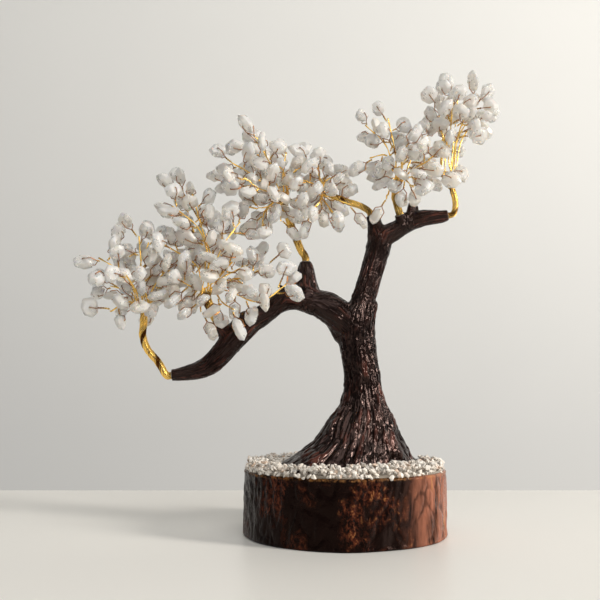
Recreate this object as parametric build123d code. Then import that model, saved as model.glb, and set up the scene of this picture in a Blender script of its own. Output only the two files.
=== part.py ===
"""Gemstone tree ornament: wired quartz chips on a cast trunk, on a slice of log.

Millimetres, +Z up. The origin is the centre of the log's underside, on the
surface that the ornament stands on. -Y faces the viewer and +X is the side of
the raised arm.
"""

from build123d import *
import math
import os
import random

import numpy as np

# Overall sizes
tree_rise = 204.0            # from the top of the log to the highest chip
base_diameter = 100.0
base_height = 31.5

# Log base
rim_radius = 1.2             # worn edge round the top of the bark
foot_radius = 0.8            # edge round the underside
bark_wander_share = 0.012    # how far the bark runs in and out, of the base radius

# Screws from below into the trunk's foot
screw_diameter = 4.0
screw_head_diameter = 8.0
screw_head_height = 2.6
screw_grip = 9.0             # how far a screw reaches into the trunk
screw_spacing = 30.0
screw_clearance = 0.4        # between a screw and its hole in the log
pilot_clearance = 0.1        # between a screw and its hole in the trunk
screw_tip_room = 1.0         # pilot hole past the screw's tip
screw_tip_share = 0.3        # flat end of the point, of the screw's radius
head_sink = 1.5              # screw head below the underside
slot_width = 1.2
slot_depth = 1.3
slot_length_share = 0.6      # of the screw head's diameter

# Glue bed and gravel
glue_thickness = 1.0
glue_margin = 1.4            # bare rim of wood outside the glue
glue_foot_gap = 0.15         # between the glue and the trunk's foot
gravel_spacing = 3.3         # from one bit of gravel to the next
gravel_width = 2.9
gravel_low = 2.6             # height of the lowest bit
gravel_high = 4.6            # height of the highest bit
gravel_seat = 0.05           # between a bit and the glue under it
gravel_shift_share = 0.04    # how far a bit strays, of the spacing
gravel_corners = 5
gravel_level_shares = [(0, 0.85, 0.0), (1, 0.50, 0.30)]   # rise, width and lean
gravel_foot_share = 0.15     # extra room beside the foot, of a bit's radius

# Trunk
waist_diameter = 20.0        # the trunk between the flare and the fork
flare_length = 84.0          # the foot, from toe to toe
flare_width = 50.0           # the foot, across the toes
plinth_height = 2.6
plinth_lip = 0.8             # plinth outside the foot of the flare
flare_turn = 35.0            # degrees from +X to the line of the toes
left_bough_diameter = 13.2
right_bough_diameter = 13.0
arm_diameter = 10.0
stub_diameter = 12.4

# Wire
wire_diameter = 0.4          # one twig wire
wire_gap = 0.1               # between the two legs of a twig
bend_share = 1.1             # radius of a twig's bends, of the wire's diameter
run_share = 0.45             # most of a short run that one bend may take
strand_diameter = 0.84       # one strand of a stem
strand_corners = 8           # round a strand's section
strand_gap = 0.06            # between strands that touch on the real stem
lay_length = 15.0            # one turn of the strands round the stem
socket_depth = 8.0           # how deep a stem sits in its branch
socket_clearance = 0.35      # round a stem in its socket, filled by glue
glue_gap = 0.05              # on each side of that glue
socket_wall = 0.7            # least resin round a socket
straight_out = 2.5           # straight stretch of a stem past its socket
leave_ahead_share = 3        # where a strand leaves the twist: on ahead, of its diameter,
leave_outward_share = 1.5    # and outward
strand_tries = 40
strand_sway_share = 0.125    # how much further each try strays, of the strand's diameter
wire_clearance = 0.12        # from a wire to what it passes

# Quartz chips
chip_length_low = 9.2
chip_length_high = 13.0
chip_width_low = 7.4
chip_width_high = 10.2
chip_thickness_low = 3.6
chip_thickness_high = 5.2
corner_sway_share = 0.22     # how far a corner strays, of the turn between corners
girdle_share = 0.12          # how far the widest level strays, of the thickness
drift_share = 0.10           # how far the ends stray sideways, of the chip's size
end_scale_shares = (0.56, 0.76)
drill_diameter = 0.95
chip_clearance = 0.15        # between neighbouring chips
twig_low = 0.6               # bare twig between a strand and its chip's neck
twig_high = 5.0
neck_room = 0.9              # where a twig's legs part, from the chip's edge
leg_drop_shares = (0.4, 0.6, 0.8, 1.0)   # how far down the chip's side a leg runs, tried in turn
chip_tries = 260
spread_share = 0.05          # how far a chip strays along its strand, of the free length
spread_gain_share = 0.15     # and how much further by the last try
bare_slack_share = 0.1       # how far chips may reach into a strand's bare part
turn_step = 2.4              # radians round the strand from one chip to the next
turn_sway = 1.2              # how far a chip strays from that
sway_tries = 40              # tries that double the stray
tip_share = 0.9              # chips past this share of a strand lean less
tip_lean = (15, 45)          # degrees from the strand
side_lean = (35, 80)
seat_share = 1.5             # from a strand's side to a twig's middle, of the wire's diameter

# Steps of the curves
lay_steps = 8                # points to a turn of a strand
free_step = 2.4              # between the points of a strand past the twist
line_samples = 12            # to each run of a smooth line
parallel_limit = 1e-12       # least sine squared between two lines that cross
flat_limit = 1e-9            # least slope of a line against a facet
outline_points = 16          # round a section of the flare
bark_waves_shares = [(3, 0.9, 0.5), (5, 2.1, 0.7), (8, 0.3, 0.4), (13, 1.2, 0.25)]

rng = random.Random(20)

# The trunk's own line: x, y and rise as shares of tree_rise
trunk_line_shares = [
    (0.015, 0.000, 0.000), (0.015, 0.000, 0.015), (0.025, 0.000, 0.044), (0.035, 0.000, 0.069),
    (0.040, 0.000, 0.093), (0.044, 0.000, 0.118), (0.047, 0.000, 0.142), (0.049, 0.000, 0.167),
    (0.048, 0.000, 0.191), (0.047, 0.000, 0.216), (0.041, 0.000, 0.266), (0.034, 0.000, 0.316),
    (0.032, 0.000, 0.346), (0.042, 0.000, 0.386), (0.050, 0.000, 0.417),
]
# Half widths there: along the toes and across them, as shares of the flare's
# length and width up to the waist, and of the waist's diameter above it
flare_half_shares = [
    (0.500, 0.500), (0.465, 0.480), (0.370, 0.425), (0.292, 0.362), (0.248, 0.330),
    (0.215, 0.305), (0.172, 0.262), (0.141, 0.232),
]
waist_half_shares = [0.520, 0.495, 0.490, 0.500, 0.510, 0.450, 0.290]
# Ridges of the root flare: how many, their phase, and how far they stand out
flare_ridge_share = 0.085
ridge_counts = 7

# Boughs: places as shares of tree_rise, thickness as shares of the bough's diameter
right_bough_shares = [
    (0.040, 0.000, 0.380, 0.50), (0.050, 0.000, 0.414, 0.50), (0.064, 0.005, 0.455, 0.49),
    (0.076, 0.010, 0.495, 0.48), (0.088, 0.015, 0.534, 0.50), (0.097, 0.015, 0.568, 0.50),
    (0.104, 0.013, 0.592, 0.36),
]
left_bough_shares = [
    (0.032, 0.000, 0.336, 0.66), (-0.013, 0.000, 0.379, 0.66), (-0.053, 0.000, 0.404, 0.58),
    (-0.101, 0.000, 0.417, 0.485), (-0.146, -0.005, 0.416, 0.447), (-0.186, -0.010, 0.388, 0.40),
    (-0.233, -0.015, 0.360, 0.50), (-0.267, -0.020, 0.324, 0.50), (-0.301, -0.025, 0.282, 0.447),
    (-0.342, -0.029, 0.245, 0.38), (-0.378, -0.034, 0.233, 0.32), (-0.401, -0.039, 0.229, 0.26),
]
left_tip_shares = [(-0.422, -0.039, 0.227)]
arm_shares = [
    (0.088, 0.015, 0.540, 0.52), (0.100, 0.014, 0.572, 0.60), (0.114, 0.010, 0.584, 0.57),
    (0.142, 0.005, 0.599, 0.495), (0.177, 0.000, 0.617, 0.47), (0.217, -0.005, 0.627, 0.44),
    (0.245, -0.009, 0.628, 0.36),
]
arm_tip_shares = [(0.268, -0.014, 0.631)]
peak_shares = [
    (-0.086, 0.000, 0.398, 0.58), (-0.090, 0.005, 0.425, 0.59), (-0.092, 0.013, 0.457, 0.50),
    (-0.093, 0.018, 0.488, 0.41),
]
peak_top_shares = [(-0.094, 0.020, 0.517)]
left_stub_shares = [
    (-0.272, -0.018, 0.300, 0.40), (-0.284, -0.021, 0.320, 0.38), (-0.300, -0.025, 0.340, 0.32),
]
left_stub_top_shares = [(-0.314, -0.029, 0.363)]
fork_stub_shares = [
    (0.094, 0.015, 0.545, 0.46), (0.090, 0.015, 0.580, 0.44), (0.084, 0.013, 0.612, 0.34),
]
fork_stub_top_shares = [(0.073, 0.011, 0.637)]
nub_shares = [(0.158, 0.000, 0.600, 0.33), (0.153, -0.005, 0.615, 0.28)]
nub_top_shares = [(0.145, -0.014, 0.634)]
# Broken spurs that carry nothing: places, with thickness as shares of stub_diameter
spur_shares = [
    [(0.172, -0.004, 0.612, 0.28), (0.174, -0.004, 0.632, 0.24), (0.176, -0.004, 0.655, 0.17),
     (0.180, -0.004, 0.680, 0.06)],
    [(0.178, 0.004, 0.618, 0.20), (0.188, 0.006, 0.642, 0.15), (0.193, 0.008, 0.660, 0.05)],
    [(-0.112, 0.000, 0.408, 0.32), (-0.130, -0.002, 0.426, 0.24), (-0.146, -0.003, 0.440, 0.15),
     (-0.160, -0.004, 0.454, 0.05)],
    [(0.092, 0.024, 0.600, 0.24), (0.094, 0.026, 0.622, 0.18), (0.093, 0.027, 0.640, 0.08)],
]

# The six bunches. Each stem leaves its branch end and follows its line; each
# strand then goes its own way to a puff of chips. Places are shares of
# tree_rise, and each strand ends with its number of chips. bare is the share of a strand without
# chips.
bunch_plan_shares = {
    "left_tip": {
        "bare": 0.28,
        "line": [(-0.456, -0.039, 0.259), (-0.483, -0.039, 0.291), (-0.495, -0.039, 0.325),
                 (-0.493, -0.039, 0.357), (-0.494, -0.039, 0.382)],
        "strands": [
            ([(-0.528, -0.059, 0.405), (-0.568, -0.074, 0.379)], 4),
            ([(-0.537, 0.000, 0.437), (-0.592, 0.015, 0.454)], 6),
            ([(-0.521, -0.078, 0.456), (-0.560, -0.098, 0.487), (-0.597, -0.088, 0.509)], 7),
            ([(-0.526, 0.000, 0.488), (-0.576, 0.020, 0.566)], 7),
            ([(-0.497, -0.069, 0.492), (-0.506, -0.059, 0.569)], 6),
            ([(-0.492, -0.020, 0.485), (-0.494, 0.010, 0.551)], 5),
            ([(-0.468, -0.059, 0.439), (-0.436, -0.069, 0.482)], 6),
            ([(-0.477, -0.010, 0.415), (-0.438, 0.025, 0.458)], 5),
            ([(-0.521, 0.039, 0.460), (-0.559, 0.088, 0.528)], 6),
            ([(-0.497, -0.118, 0.422), (-0.514, -0.152, 0.457)], 5),
        ],
    },
    "left_stub": {
        "bare": 0.36,
        "line": [(-0.327, -0.044, 0.389), (-0.337, -0.049, 0.408), (-0.339, -0.049, 0.428)],
        "strands": [
            ([(-0.327, -0.039, 0.507), (-0.353, -0.020, 0.587), (-0.385, 0.000, 0.690)], 11),
            ([(-0.332, -0.078, 0.510), (-0.358, -0.078, 0.585), (-0.424, -0.069, 0.642)], 9),
            ([(-0.350, 0.010, 0.515), (-0.384, 0.039, 0.599), (-0.420, 0.030, 0.715)], 11),
            ([(-0.359, -0.059, 0.484), (-0.434, -0.059, 0.546)], 7),
            ([(-0.368, 0.010, 0.479), (-0.418, 0.069, 0.525)], 6),
            ([(-0.365, -0.078, 0.437), (-0.395, -0.108, 0.450)], 5),
            ([(-0.310, -0.098, 0.497), (-0.292, -0.098, 0.541), (-0.255, -0.078, 0.600)], 7),
            ([(-0.301, -0.088, 0.465), (-0.269, -0.127, 0.492)], 6),
            ([(-0.285, -0.059, 0.444), (-0.225, -0.069, 0.463), (-0.177, -0.059, 0.494)], 7),
            ([(-0.272, -0.088, 0.411), (-0.208, -0.108, 0.409), (-0.149, -0.088, 0.445)], 8),
            ([(-0.294, -0.108, 0.399), (-0.263, -0.137, 0.377)], 5),
            ([(-0.350, -0.078, 0.407), (-0.345, -0.098, 0.376)], 3),
            ([(-0.299, 0.010, 0.479), (-0.225, 0.049, 0.522)], 6),
            ([(-0.332, 0.029, 0.545), (-0.314, 0.069, 0.605)], 6),
        ],
    },
    "peak": {
        "bare": 0.3,
        "line": [(-0.106, 0.020, 0.548), (-0.124, 0.020, 0.592), (-0.139, 0.020, 0.634),
                 (-0.150, 0.020, 0.668), (-0.152, 0.020, 0.684)],
        "strands": [
            ([(-0.185, 0.000, 0.658), (-0.239, -0.029, 0.646)], 6),
            ([(-0.198, 0.049, 0.697), (-0.241, 0.069, 0.724), (-0.289, 0.069, 0.735)], 7),
            ([(-0.200, -0.020, 0.711), (-0.239, -0.049, 0.734), (-0.283, -0.059, 0.756)], 8),
            ([(-0.187, 0.039, 0.743), (-0.209, 0.059, 0.797), (-0.247, 0.059, 0.841)], 8),
            ([(-0.169, -0.039, 0.731), (-0.184, -0.049, 0.775), (-0.207, -0.049, 0.821)], 7),
            ([(-0.153, 0.039, 0.754), (-0.145, 0.049, 0.816)], 7),
            ([(-0.129, 0.000, 0.721), (-0.088, 0.010, 0.774)], 5),
            ([(-0.178, -0.049, 0.631), (-0.202, -0.069, 0.604)], 4),
            ([(-0.148, -0.039, 0.639), (-0.165, -0.059, 0.604)], 4),
            ([(-0.202, -0.078, 0.680), (-0.243, -0.118, 0.699)], 6),
            ([(-0.175, 0.088, 0.746), (-0.212, 0.123, 0.789)], 6),
        ],
    },
    "fork_stub": {
        "bare": 0.22,
        "line": [(0.046, 0.010, 0.661), (0.014, 0.000, 0.669), (-0.014, -0.010, 0.677),
                 (-0.040, -0.015, 0.689)],
        "strands": [
            ([(-0.070, -0.025, 0.709), (-0.103, -0.039, 0.716)], 4),
            ([(-0.083, -0.039, 0.680), (-0.118, -0.059, 0.665)], 4),
            ([(-0.059, -0.059, 0.654), (-0.089, -0.074, 0.623)], 4),
            ([(-0.052, 0.010, 0.719), (-0.020, 0.025, 0.744)], 3),
            ([(-0.039, -0.049, 0.647), (-0.020, -0.069, 0.617)], 3),
            ([(-0.062, 0.029, 0.708), (-0.082, 0.059, 0.727)], 4),
            ([(-0.060, -0.010, 0.735), (-0.074, -0.015, 0.768)], 4),
            ([(-0.020, -0.050, 0.665), (0.022, -0.060, 0.645)], 3),
            ([(-0.030, 0.035, 0.690), (-0.010, 0.070, 0.690)], 3),
        ],
    },
    "arm_nub": {
        "bare": 0.3,
        "line": [(0.138, -0.020, 0.655), (0.132, -0.020, 0.680), (0.137, -0.025, 0.702),
                 (0.142, -0.029, 0.716)],
        "strands": [
            ([(0.122, -0.029, 0.750), (0.109, -0.039, 0.780), (0.067, -0.049, 0.770)], 4),
            ([(0.127, -0.010, 0.771), (0.111, 0.000, 0.822), (0.061, 0.010, 0.876)], 5),
            ([(0.133, -0.044, 0.771), (0.126, -0.044, 0.818), (0.115, -0.039, 0.877)], 5),
            ([(0.146, -0.059, 0.746), (0.144, -0.078, 0.781)], 4),
            ([(0.170, -0.015, 0.764), (0.194, -0.010, 0.808), (0.222, 0.000, 0.838)], 6),
            ([(0.170, -0.064, 0.734), (0.212, -0.083, 0.754)], 5),
            ([(0.183, -0.039, 0.726), (0.242, -0.049, 0.741)], 5),
            ([(0.153, -0.074, 0.706), (0.168, -0.103, 0.678)], 4),
            ([(0.118, -0.059, 0.695), (0.106, -0.069, 0.657)], 2),
            ([(0.161, 0.029, 0.778), (0.191, 0.069, 0.822)], 5),
        ],
    },
    "arm_tip": {
        "bare": 0.7,
        "line": [(0.286, -0.015, 0.652), (0.285, -0.015, 0.676), (0.278, -0.015, 0.702)],
        "strands": [
            ([(0.252, -0.025, 0.759), (0.257, -0.034, 0.821), (0.236, -0.044, 0.865)], 4),
            ([(0.265, 0.000, 0.771), (0.273, 0.010, 0.841), (0.259, 0.020, 0.931)], 5),
            ([(0.269, -0.029, 0.770), (0.273, -0.044, 0.849), (0.277, -0.059, 0.922)], 5),
            ([(0.285, 0.010, 0.782), (0.297, 0.020, 0.871), (0.309, 0.029, 0.965)], 5),
            ([(0.287, -0.015, 0.770), (0.299, -0.020, 0.847), (0.340, -0.029, 0.934)], 5),
            ([(0.296, 0.005, 0.768), (0.313, 0.015, 0.837), (0.359, 0.025, 0.906)], 4),
            ([(0.277, -0.039, 0.755), (0.285, -0.059, 0.813), (0.303, -0.083, 0.846)], 4),
            ([(0.262, 0.020, 0.762), (0.266, 0.050, 0.830), (0.281, 0.075, 0.895)], 4),
        ],
    },
}


def place(share):
    """A point of the tree from its shares of the rise."""
    return np.array([share[0] * tree_rise, share[1] * tree_rise, base_height + share[2] * tree_rise])


def unit(vector):
    return vector / np.linalg.norm(vector)


def across(direction, toward):
    """The part of one vector that stands square to a direction, at length one."""
    return unit(toward - direction * np.dot(direction, toward))


def any_across(direction):
    axis = np.eye(3)[int(np.argmin(np.abs(direction)))]
    return across(direction, axis)


# Curves through points

def smooth_line(points, step):
    """Evenly spaced points on a smooth curve through the given ones."""
    points = [np.array(p, float) for p in points]
    ends = [2 * points[0] - points[1]] + points + [2 * points[-1] - points[-2]]
    fine = []
    for a, b, c, d in zip(ends, ends[1:], ends[2:], ends[3:]):
        for t in np.linspace(0, 1, line_samples, endpoint=False):
            fine.append(0.5 * (2 * b + (c - a) * t + (2 * a - 5 * b + 4 * c - d) * t ** 2
                               + (3 * b - a - 3 * c + d) * t ** 3))
    fine.append(points[-1])
    fine = np.array(fine)
    runs = np.linalg.norm(np.diff(fine, axis=0), axis=1)
    along = np.concatenate([[0], np.cumsum(runs)])
    count = max(2, round(along[-1] / step) + 1)
    wanted = np.linspace(0, along[-1], count)
    return np.array([[np.interp(w, along, fine[:, k]) for k in range(3)] for w in wanted])


def carried_frames(points, first_side=None):
    """Directions along a line, and a side vector carried along it without twist."""
    ahead = np.gradient(points, axis=0)
    ahead = ahead / np.linalg.norm(ahead, axis=1)[:, None]
    side = any_across(ahead[0]) if first_side is None else across(ahead[0], first_side)
    sides = [side]
    for direction in ahead[1:]:
        sides.append(across(direction, sides[-1]))
    return ahead, np.array(sides)


def round_loft(points, radii):
    """A smooth round limb or wire through the points."""
    ahead, sides = carried_frames(np.array(points))
    rings = []
    for point, direction, side, radius in zip(points, ahead, sides, radii):
        plane = Plane(origin=tuple(point), x_dir=tuple(side), z_dir=tuple(direction))
        rings.append(Wire.make_circle(radius, plane))
    return Solid.make_loft(rings)


def prism_stack(rings):
    """A closed solid with flat facets between like rings of corners."""
    low = Face(Wire.make_polygon([Vector(*p) for p in rings[0]]))
    high = Face(Wire.make_polygon([Vector(*p) for p in rings[-1]]))
    faces = [low, high]
    corners = len(rings[0])
    for under, over in zip(rings, rings[1:]):
        for i in range(corners):
            j = (i + 1) % corners
            facet = [Vector(*p) for p in (under[i], under[j], over[j], over[i])]
            faces.append(Face(Wire.make_polygon(facet)))
    return Solid(Shell(faces))


def save(node, solids):
    """Write the solids of one node."""
    whole = solids[0] if len(solids) == 1 else Compound(children=list(solids))
    export_step(whole, f"parts/{node}.step")


# The base and what fixes the trunk to it

def base_outline(inset):
    """The log's uneven round outline, drawn in by the inset."""
    corners = []
    for k in range(2 * outline_points):
        angle = 2 * math.pi * k / (2 * outline_points)
        wander = sum(weight * math.cos(waves * angle + phase) for waves, phase, weight in bark_waves_shares)
        radius = base_diameter / 2 * (1 + bark_wander_share * wander) - inset
        corners.append((radius * math.cos(angle), radius * math.sin(angle)))
    return Wire([Spline(*corners, periodic=True)])


def screw_places():
    centre = trunk_line_shares[0][0] * tree_rise
    turn = math.radians(flare_turn)
    places = []
    for side in (-1, 1):
        reach = side * screw_spacing / 2
        places.append((centre + reach * math.cos(turn), reach * math.sin(turn)))
    return places


def screw_profile(shank, head, tip_length):
    """Half section of a countersunk screw or of the hole that clears it, as (radius, height)."""
    top = base_height + screw_grip + tip_length
    return [(0, head_sink), (head, head_sink), (shank, head_sink + screw_head_height),
            (shank, top - shank), (shank * screw_tip_share, top), (0, top)]


def make_screws():
    screws = []
    for x, y in screw_places():
        outline = screw_profile(screw_diameter / 2, screw_head_diameter / 2, 0)
        section = Plane.XZ * make_face(Polyline(*outline, close=True))
        screw = revolve(section, axis=Axis.Z)
        for turn in (0, 90):
            slot = Box(screw_head_diameter * slot_length_share, slot_width, 2 * slot_depth)
            screw -= Pos(0, 0, head_sink) * Rot(0, 0, turn) * slot
        screws.append((Pos(x, y, 0) * screw).solid())
    return screws


def make_base():
    body = extrude(Face(base_outline(0)), base_height)
    body = fillet(body.edges().group_by(Axis.Z)[-1], rim_radius)
    body = fillet(body.edges().group_by(Axis.Z)[0], foot_radius)
    for x, y in screw_places():
        hole = Cylinder(screw_diameter / 2 + screw_clearance, base_height,
                        align=(Align.CENTER, Align.CENTER, Align.MIN))
        sink = Cone(screw_head_diameter / 2 + screw_clearance, screw_diameter / 2 + screw_clearance,
                    screw_head_height, align=(Align.CENTER, Align.CENTER, Align.MIN))
        mouth = Cylinder(screw_head_diameter / 2 + screw_clearance, head_sink,
                         align=(Align.CENTER, Align.CENTER, Align.MIN))
        body -= Pos(x, y, 0) * (hole + mouth + Pos(0, 0, head_sink) * sink)
    return body.solid()


# The trunk

def flare_section(level, grow):
    """One uneven section of the flare and waist, as a closed curve with its plane level."""
    x, y, _ = place(trunk_line_shares[level])
    height = place(trunk_line_shares[level])[2]
    if level < len(flare_half_shares):
        long_share, wide_share = flare_half_shares[level]
        half_long = long_share * flare_length
        half_wide = wide_share * flare_width
    else:
        half_long = waist_half_shares[level - len(flare_half_shares)] * waist_diameter
        half_wide = half_long
    fade = 1 - level / len(trunk_line_shares)
    turn = math.radians(flare_turn)
    corners = []
    for k in range(outline_points):
        angle = 2 * math.pi * k / outline_points
        ridge = 1 + flare_ridge_share * fade * math.cos(ridge_counts * angle + level * fade)
        along = (half_long * ridge + grow) * math.cos(angle)
        aside = (half_wide * ridge + grow) * math.sin(angle)
        corners.append((x + along * math.cos(turn) - aside * math.sin(turn),
                        y + along * math.sin(turn) + aside * math.cos(turn), height))
    return Wire([Spline(*corners, periodic=True)])


def bunch_plan(name):
    return bunch_plan_shares[name]


def stem_radius(name):
    """Radius of a stem's ring of strands, to the strands' middles."""
    count = len(bunch_plan(name)["strands"])
    half_turn = math.pi / lay_steps
    return (strand_diameter + strand_gap) / 2 / math.sin(math.pi / count) / math.cos(half_turn)


def stem_outer(name):
    return stem_radius(name) + strand_diameter / 2


def socket_radius(name):
    return stem_outer(name) + socket_clearance


def tip_radius(name):
    return socket_radius(name) + socket_wall


def limb(table, diameter, tip_shares=None, bunch=None):
    """Points and radii of a bough, with its socketed end if it carries a bunch."""
    points = [place(row) for row in table]
    radii = [row[3] * diameter for row in table]
    if bunch is not None:
        points.append(place(tip_shares[0]))
        radii.append(tip_radius(bunch))
    return points, radii


limbs = {
    "right_bough": limb(right_bough_shares, right_bough_diameter),
    "left_tip": limb(left_bough_shares, left_bough_diameter, left_tip_shares, "left_tip"),
    "arm_tip": limb(arm_shares, arm_diameter, arm_tip_shares, "arm_tip"),
    "peak": limb(peak_shares, stub_diameter, peak_top_shares, "peak"),
    "left_stub": limb(left_stub_shares, stub_diameter, left_stub_top_shares, "left_stub"),
    "fork_stub": limb(fork_stub_shares, stub_diameter, fork_stub_top_shares, "fork_stub"),
    "arm_nub": limb(nub_shares, stub_diameter, nub_top_shares, "arm_nub"),
}
for number, table in enumerate(spur_shares):
    limbs[f"spur_{number}"] = limb(table, stub_diameter)


def stem_root(name):
    """Mouth of a bunch's socket and the direction that points out of it."""
    points, _ = limbs[name]
    return points[-1], unit(points[-1] - points[-2])


def make_trunk():
    sections = [flare_section(level, 0) for level in range(len(trunk_line_shares))]
    body = Solid.make_loft(sections)
    plinth = extrude(Face(flare_section(0, plinth_lip)), plinth_height, dir=(0, 0, 1))
    body = plinth.fuse(body)
    for points, radii in limbs.values():
        body = body.fuse(round_loft(points, radii))
    for name in bunch_plan_shares:
        mouth, out = stem_root(name)
        bottom = mouth - out * (socket_depth + socket_clearance)
        hole = Cylinder(socket_radius(name), 2 * (socket_depth + socket_clearance),
                        align=(Align.CENTER, Align.CENTER, Align.MIN))
        body = body.cut(Plane(origin=tuple(bottom), z_dir=tuple(out)) * hole)
    for x, y in screw_places():
        outline = screw_profile(screw_diameter / 2 + pilot_clearance, screw_head_diameter / 2, screw_tip_room)
        section = Plane.XZ * make_face(Polyline(*outline, close=True))
        body = body.cut(Pos(x, y, 0) * revolve(section, axis=Axis.Z))
    return max(body.solids(), key=lambda solid: solid.volume)


# Glue bed and gravel

def make_glue_bed():
    sheet = Face(base_outline(glue_margin))
    bed = Pos(0, 0, base_height) * extrude(sheet, glue_thickness)
    foot = extrude(Face(flare_section(0, plinth_lip + glue_foot_gap)), glue_thickness, dir=(0, 0, 1))
    return (bed - foot).solid()


def polar_reach(corners, centre):
    """Outline radius by angle about a centre, for testing points against it."""
    rel = corners - centre
    angles = np.arctan2(rel[:, 1], rel[:, 0])
    order = np.argsort(angles)
    return angles[order], np.hypot(rel[:, 0], rel[:, 1])[order]


def outline_samples(wire):
    return np.array([tuple(wire.position_at(t))[:2] for t in np.linspace(0, 1, 90, endpoint=False)])


def make_gravel():
    """Loose crushed bits in four fields round the foot, on a shaken hexagonal grid."""
    rim_angles, rim_radii = polar_reach(outline_samples(base_outline(glue_margin)), np.zeros(2))
    foot_centre = place(trunk_line_shares[0])[:2]
    foot = outline_samples(flare_section(0, plinth_lip + glue_foot_gap))
    foot_angles, foot_radii = polar_reach(foot, foot_centre)
    fields = {"front": [], "back": [], "left": [], "right": []}
    bit_radius = gravel_width / 2
    rows = math.ceil(base_diameter / gravel_spacing)
    shift = gravel_shift_share * gravel_spacing
    for row in range(-rows, rows + 1):
        for column in range(-rows, rows + 1):
            x = (column + 0.5 * (row % 2)) * gravel_spacing + rng.uniform(-1, 1) * shift
            y = row * gravel_spacing * math.sqrt(3) / 2 + rng.uniform(-1, 1) * shift
            height = rng.uniform(gravel_low, gravel_high)
            lean = [rng.uniform(-1, 1) for _ in range(2)]
            turn = rng.uniform(0, math.pi)
            spot = np.array([x, y])
            rim = np.interp(math.atan2(y, x), rim_angles, rim_radii, period=2 * math.pi)
            rel = spot - foot_centre
            foot_reach = np.interp(math.atan2(rel[1], rel[0]), foot_angles, foot_radii, period=2 * math.pi)
            kept_off = foot_reach + bit_radius * (1 + gravel_foot_share)
            if np.hypot(x, y) > rim - bit_radius or np.hypot(*rel) < kept_off:
                continue
            bit = gravel_bit(spot, bit_radius, height, lean, turn)
            if abs(y) > abs(x):
                fields["front" if y < 0 else "back"].append(bit)
            else:
                fields["left" if x < 0 else "right"].append(bit)
    return fields


def gravel_bit(spot, radius, height, lean, turn):
    """One crushed bit: a five-sided block that narrows to a leaning top."""
    floor = base_height + glue_thickness + gravel_seat
    rings = []
    for rise, scale, shift in gravel_level_shares:
        ring = []
        for k in range(gravel_corners):
            angle = turn + 2 * math.pi * k / gravel_corners
            ring.append((spot[0] + radius * (scale * math.cos(angle) + shift * lean[0]),
                         spot[1] + radius * (scale * math.sin(angle) + shift * lean[1]),
                         floor + height * rise))
        rings.append(ring)
    return prism_stack(rings)


# Stems

def stem_axis(name):
    """Line through the middle of a stem, from its root in the socket to where the strands part."""
    mouth, out = stem_root(name)
    root = mouth - out * socket_depth
    line = [root, mouth - out * socket_depth / 2, mouth, mouth + out * straight_out]
    line += [place(share) for share in bunch_plan(name)["line"]]
    return smooth_line(line, lay_length / lay_steps)


def route_distance(line, others):
    """Least distance from the points of one line to a set of points."""
    if len(others) == 0:
        return math.inf
    return float(np.min(np.linalg.norm(line[:, None, :] - others[None, :, :], axis=2)))


def strand_lines(name):
    """The strands of a stem: round its middle at first, and then each to its own puff."""
    axis = stem_axis(name)
    ahead, sides = carried_frames(axis)
    plan = bunch_plan(name)["strands"]
    count = len(plan)
    ring = stem_radius(name)
    end_ahead = ahead[-1]
    end_side = sides[-1]
    end_up = np.cross(end_ahead, end_side)

    def bearing(point):
        rel = point - axis[-1]
        return math.atan2(np.dot(rel, end_up), np.dot(rel, end_side))

    order = sorted(range(count), key=lambda i: bearing(place(plan[i][0][0])))
    turns = (len(axis) - 1) * 2 * math.pi / lay_steps
    first_bearing = bearing(place(plan[order[0]][0][0]))
    lines = [None] * count
    taken = np.zeros((0, 3))
    need = strand_diameter + strand_gap
    for seat, index in enumerate(order):
        phase = first_bearing + 2 * math.pi * seat / count - turns
        wound = []
        for k, (point, direction, side) in enumerate(zip(axis, ahead, sides)):
            angle = phase + 2 * math.pi * k / lay_steps
            up = np.cross(direction, side)
            wound.append(point + ring * (math.cos(angle) * side + math.sin(angle) * up))
        wound = np.array(wound)
        outward = unit(wound[-1] - axis[-1])
        targets = [place(share) for share in plan[index][0]]
        best = None
        for attempt in range(strand_tries):
            sway = attempt * strand_sway_share * strand_diameter
            ways = [t + sway * np.array([rng.uniform(-1, 1) for _ in range(3)]) for t in targets]
            leave = wound[-1] + (end_ahead * leave_ahead_share + outward * leave_outward_share) * strand_diameter
            free = smooth_line([wound[-1], leave] + ways, free_step)[1:]
            dense = smooth_line([wound[-1], leave] + ways, strand_diameter / 2)[3:]
            room = route_distance(dense, taken)
            if best is None or room > best[0]:
                best = (room, free, dense)
            if room > need:
                break
        taken = np.vstack([taken, best[2]])
        lines[index] = (np.vstack([wound, best[1]]), len(wound))
    return lines


# Tests of room between straight wires, faceted chips and boughs

def segment_gaps(a0, a1, b0, b1):
    """Distances between each of some segments and each of others."""
    d1 = (a1 - a0)[:, None, :]
    d2 = (b1 - b0)[None, :, :]
    r = a0[:, None, :] - b0[None, :, :]
    a = np.sum(d1 * d1, axis=2)
    e = np.sum(d2 * d2, axis=2)
    b = np.sum(d1 * d2, axis=2)
    c = np.sum(d1 * r, axis=2)
    f = np.sum(d2 * r, axis=2)
    denominator = a * e - b * b
    crossing = denominator > parallel_limit * a * e
    safe = np.where(crossing, denominator, 1)
    s = np.where(crossing, np.clip((b * f - c * e) / safe, 0, 1), 0)
    t = np.clip((b * s + f) / e, 0, 1)
    s = np.clip((b * t - c) / a, 0, 1)
    apart = r + s[:, :, None] * d1 - t[:, :, None] * d2
    return np.linalg.norm(apart, axis=2)


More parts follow.
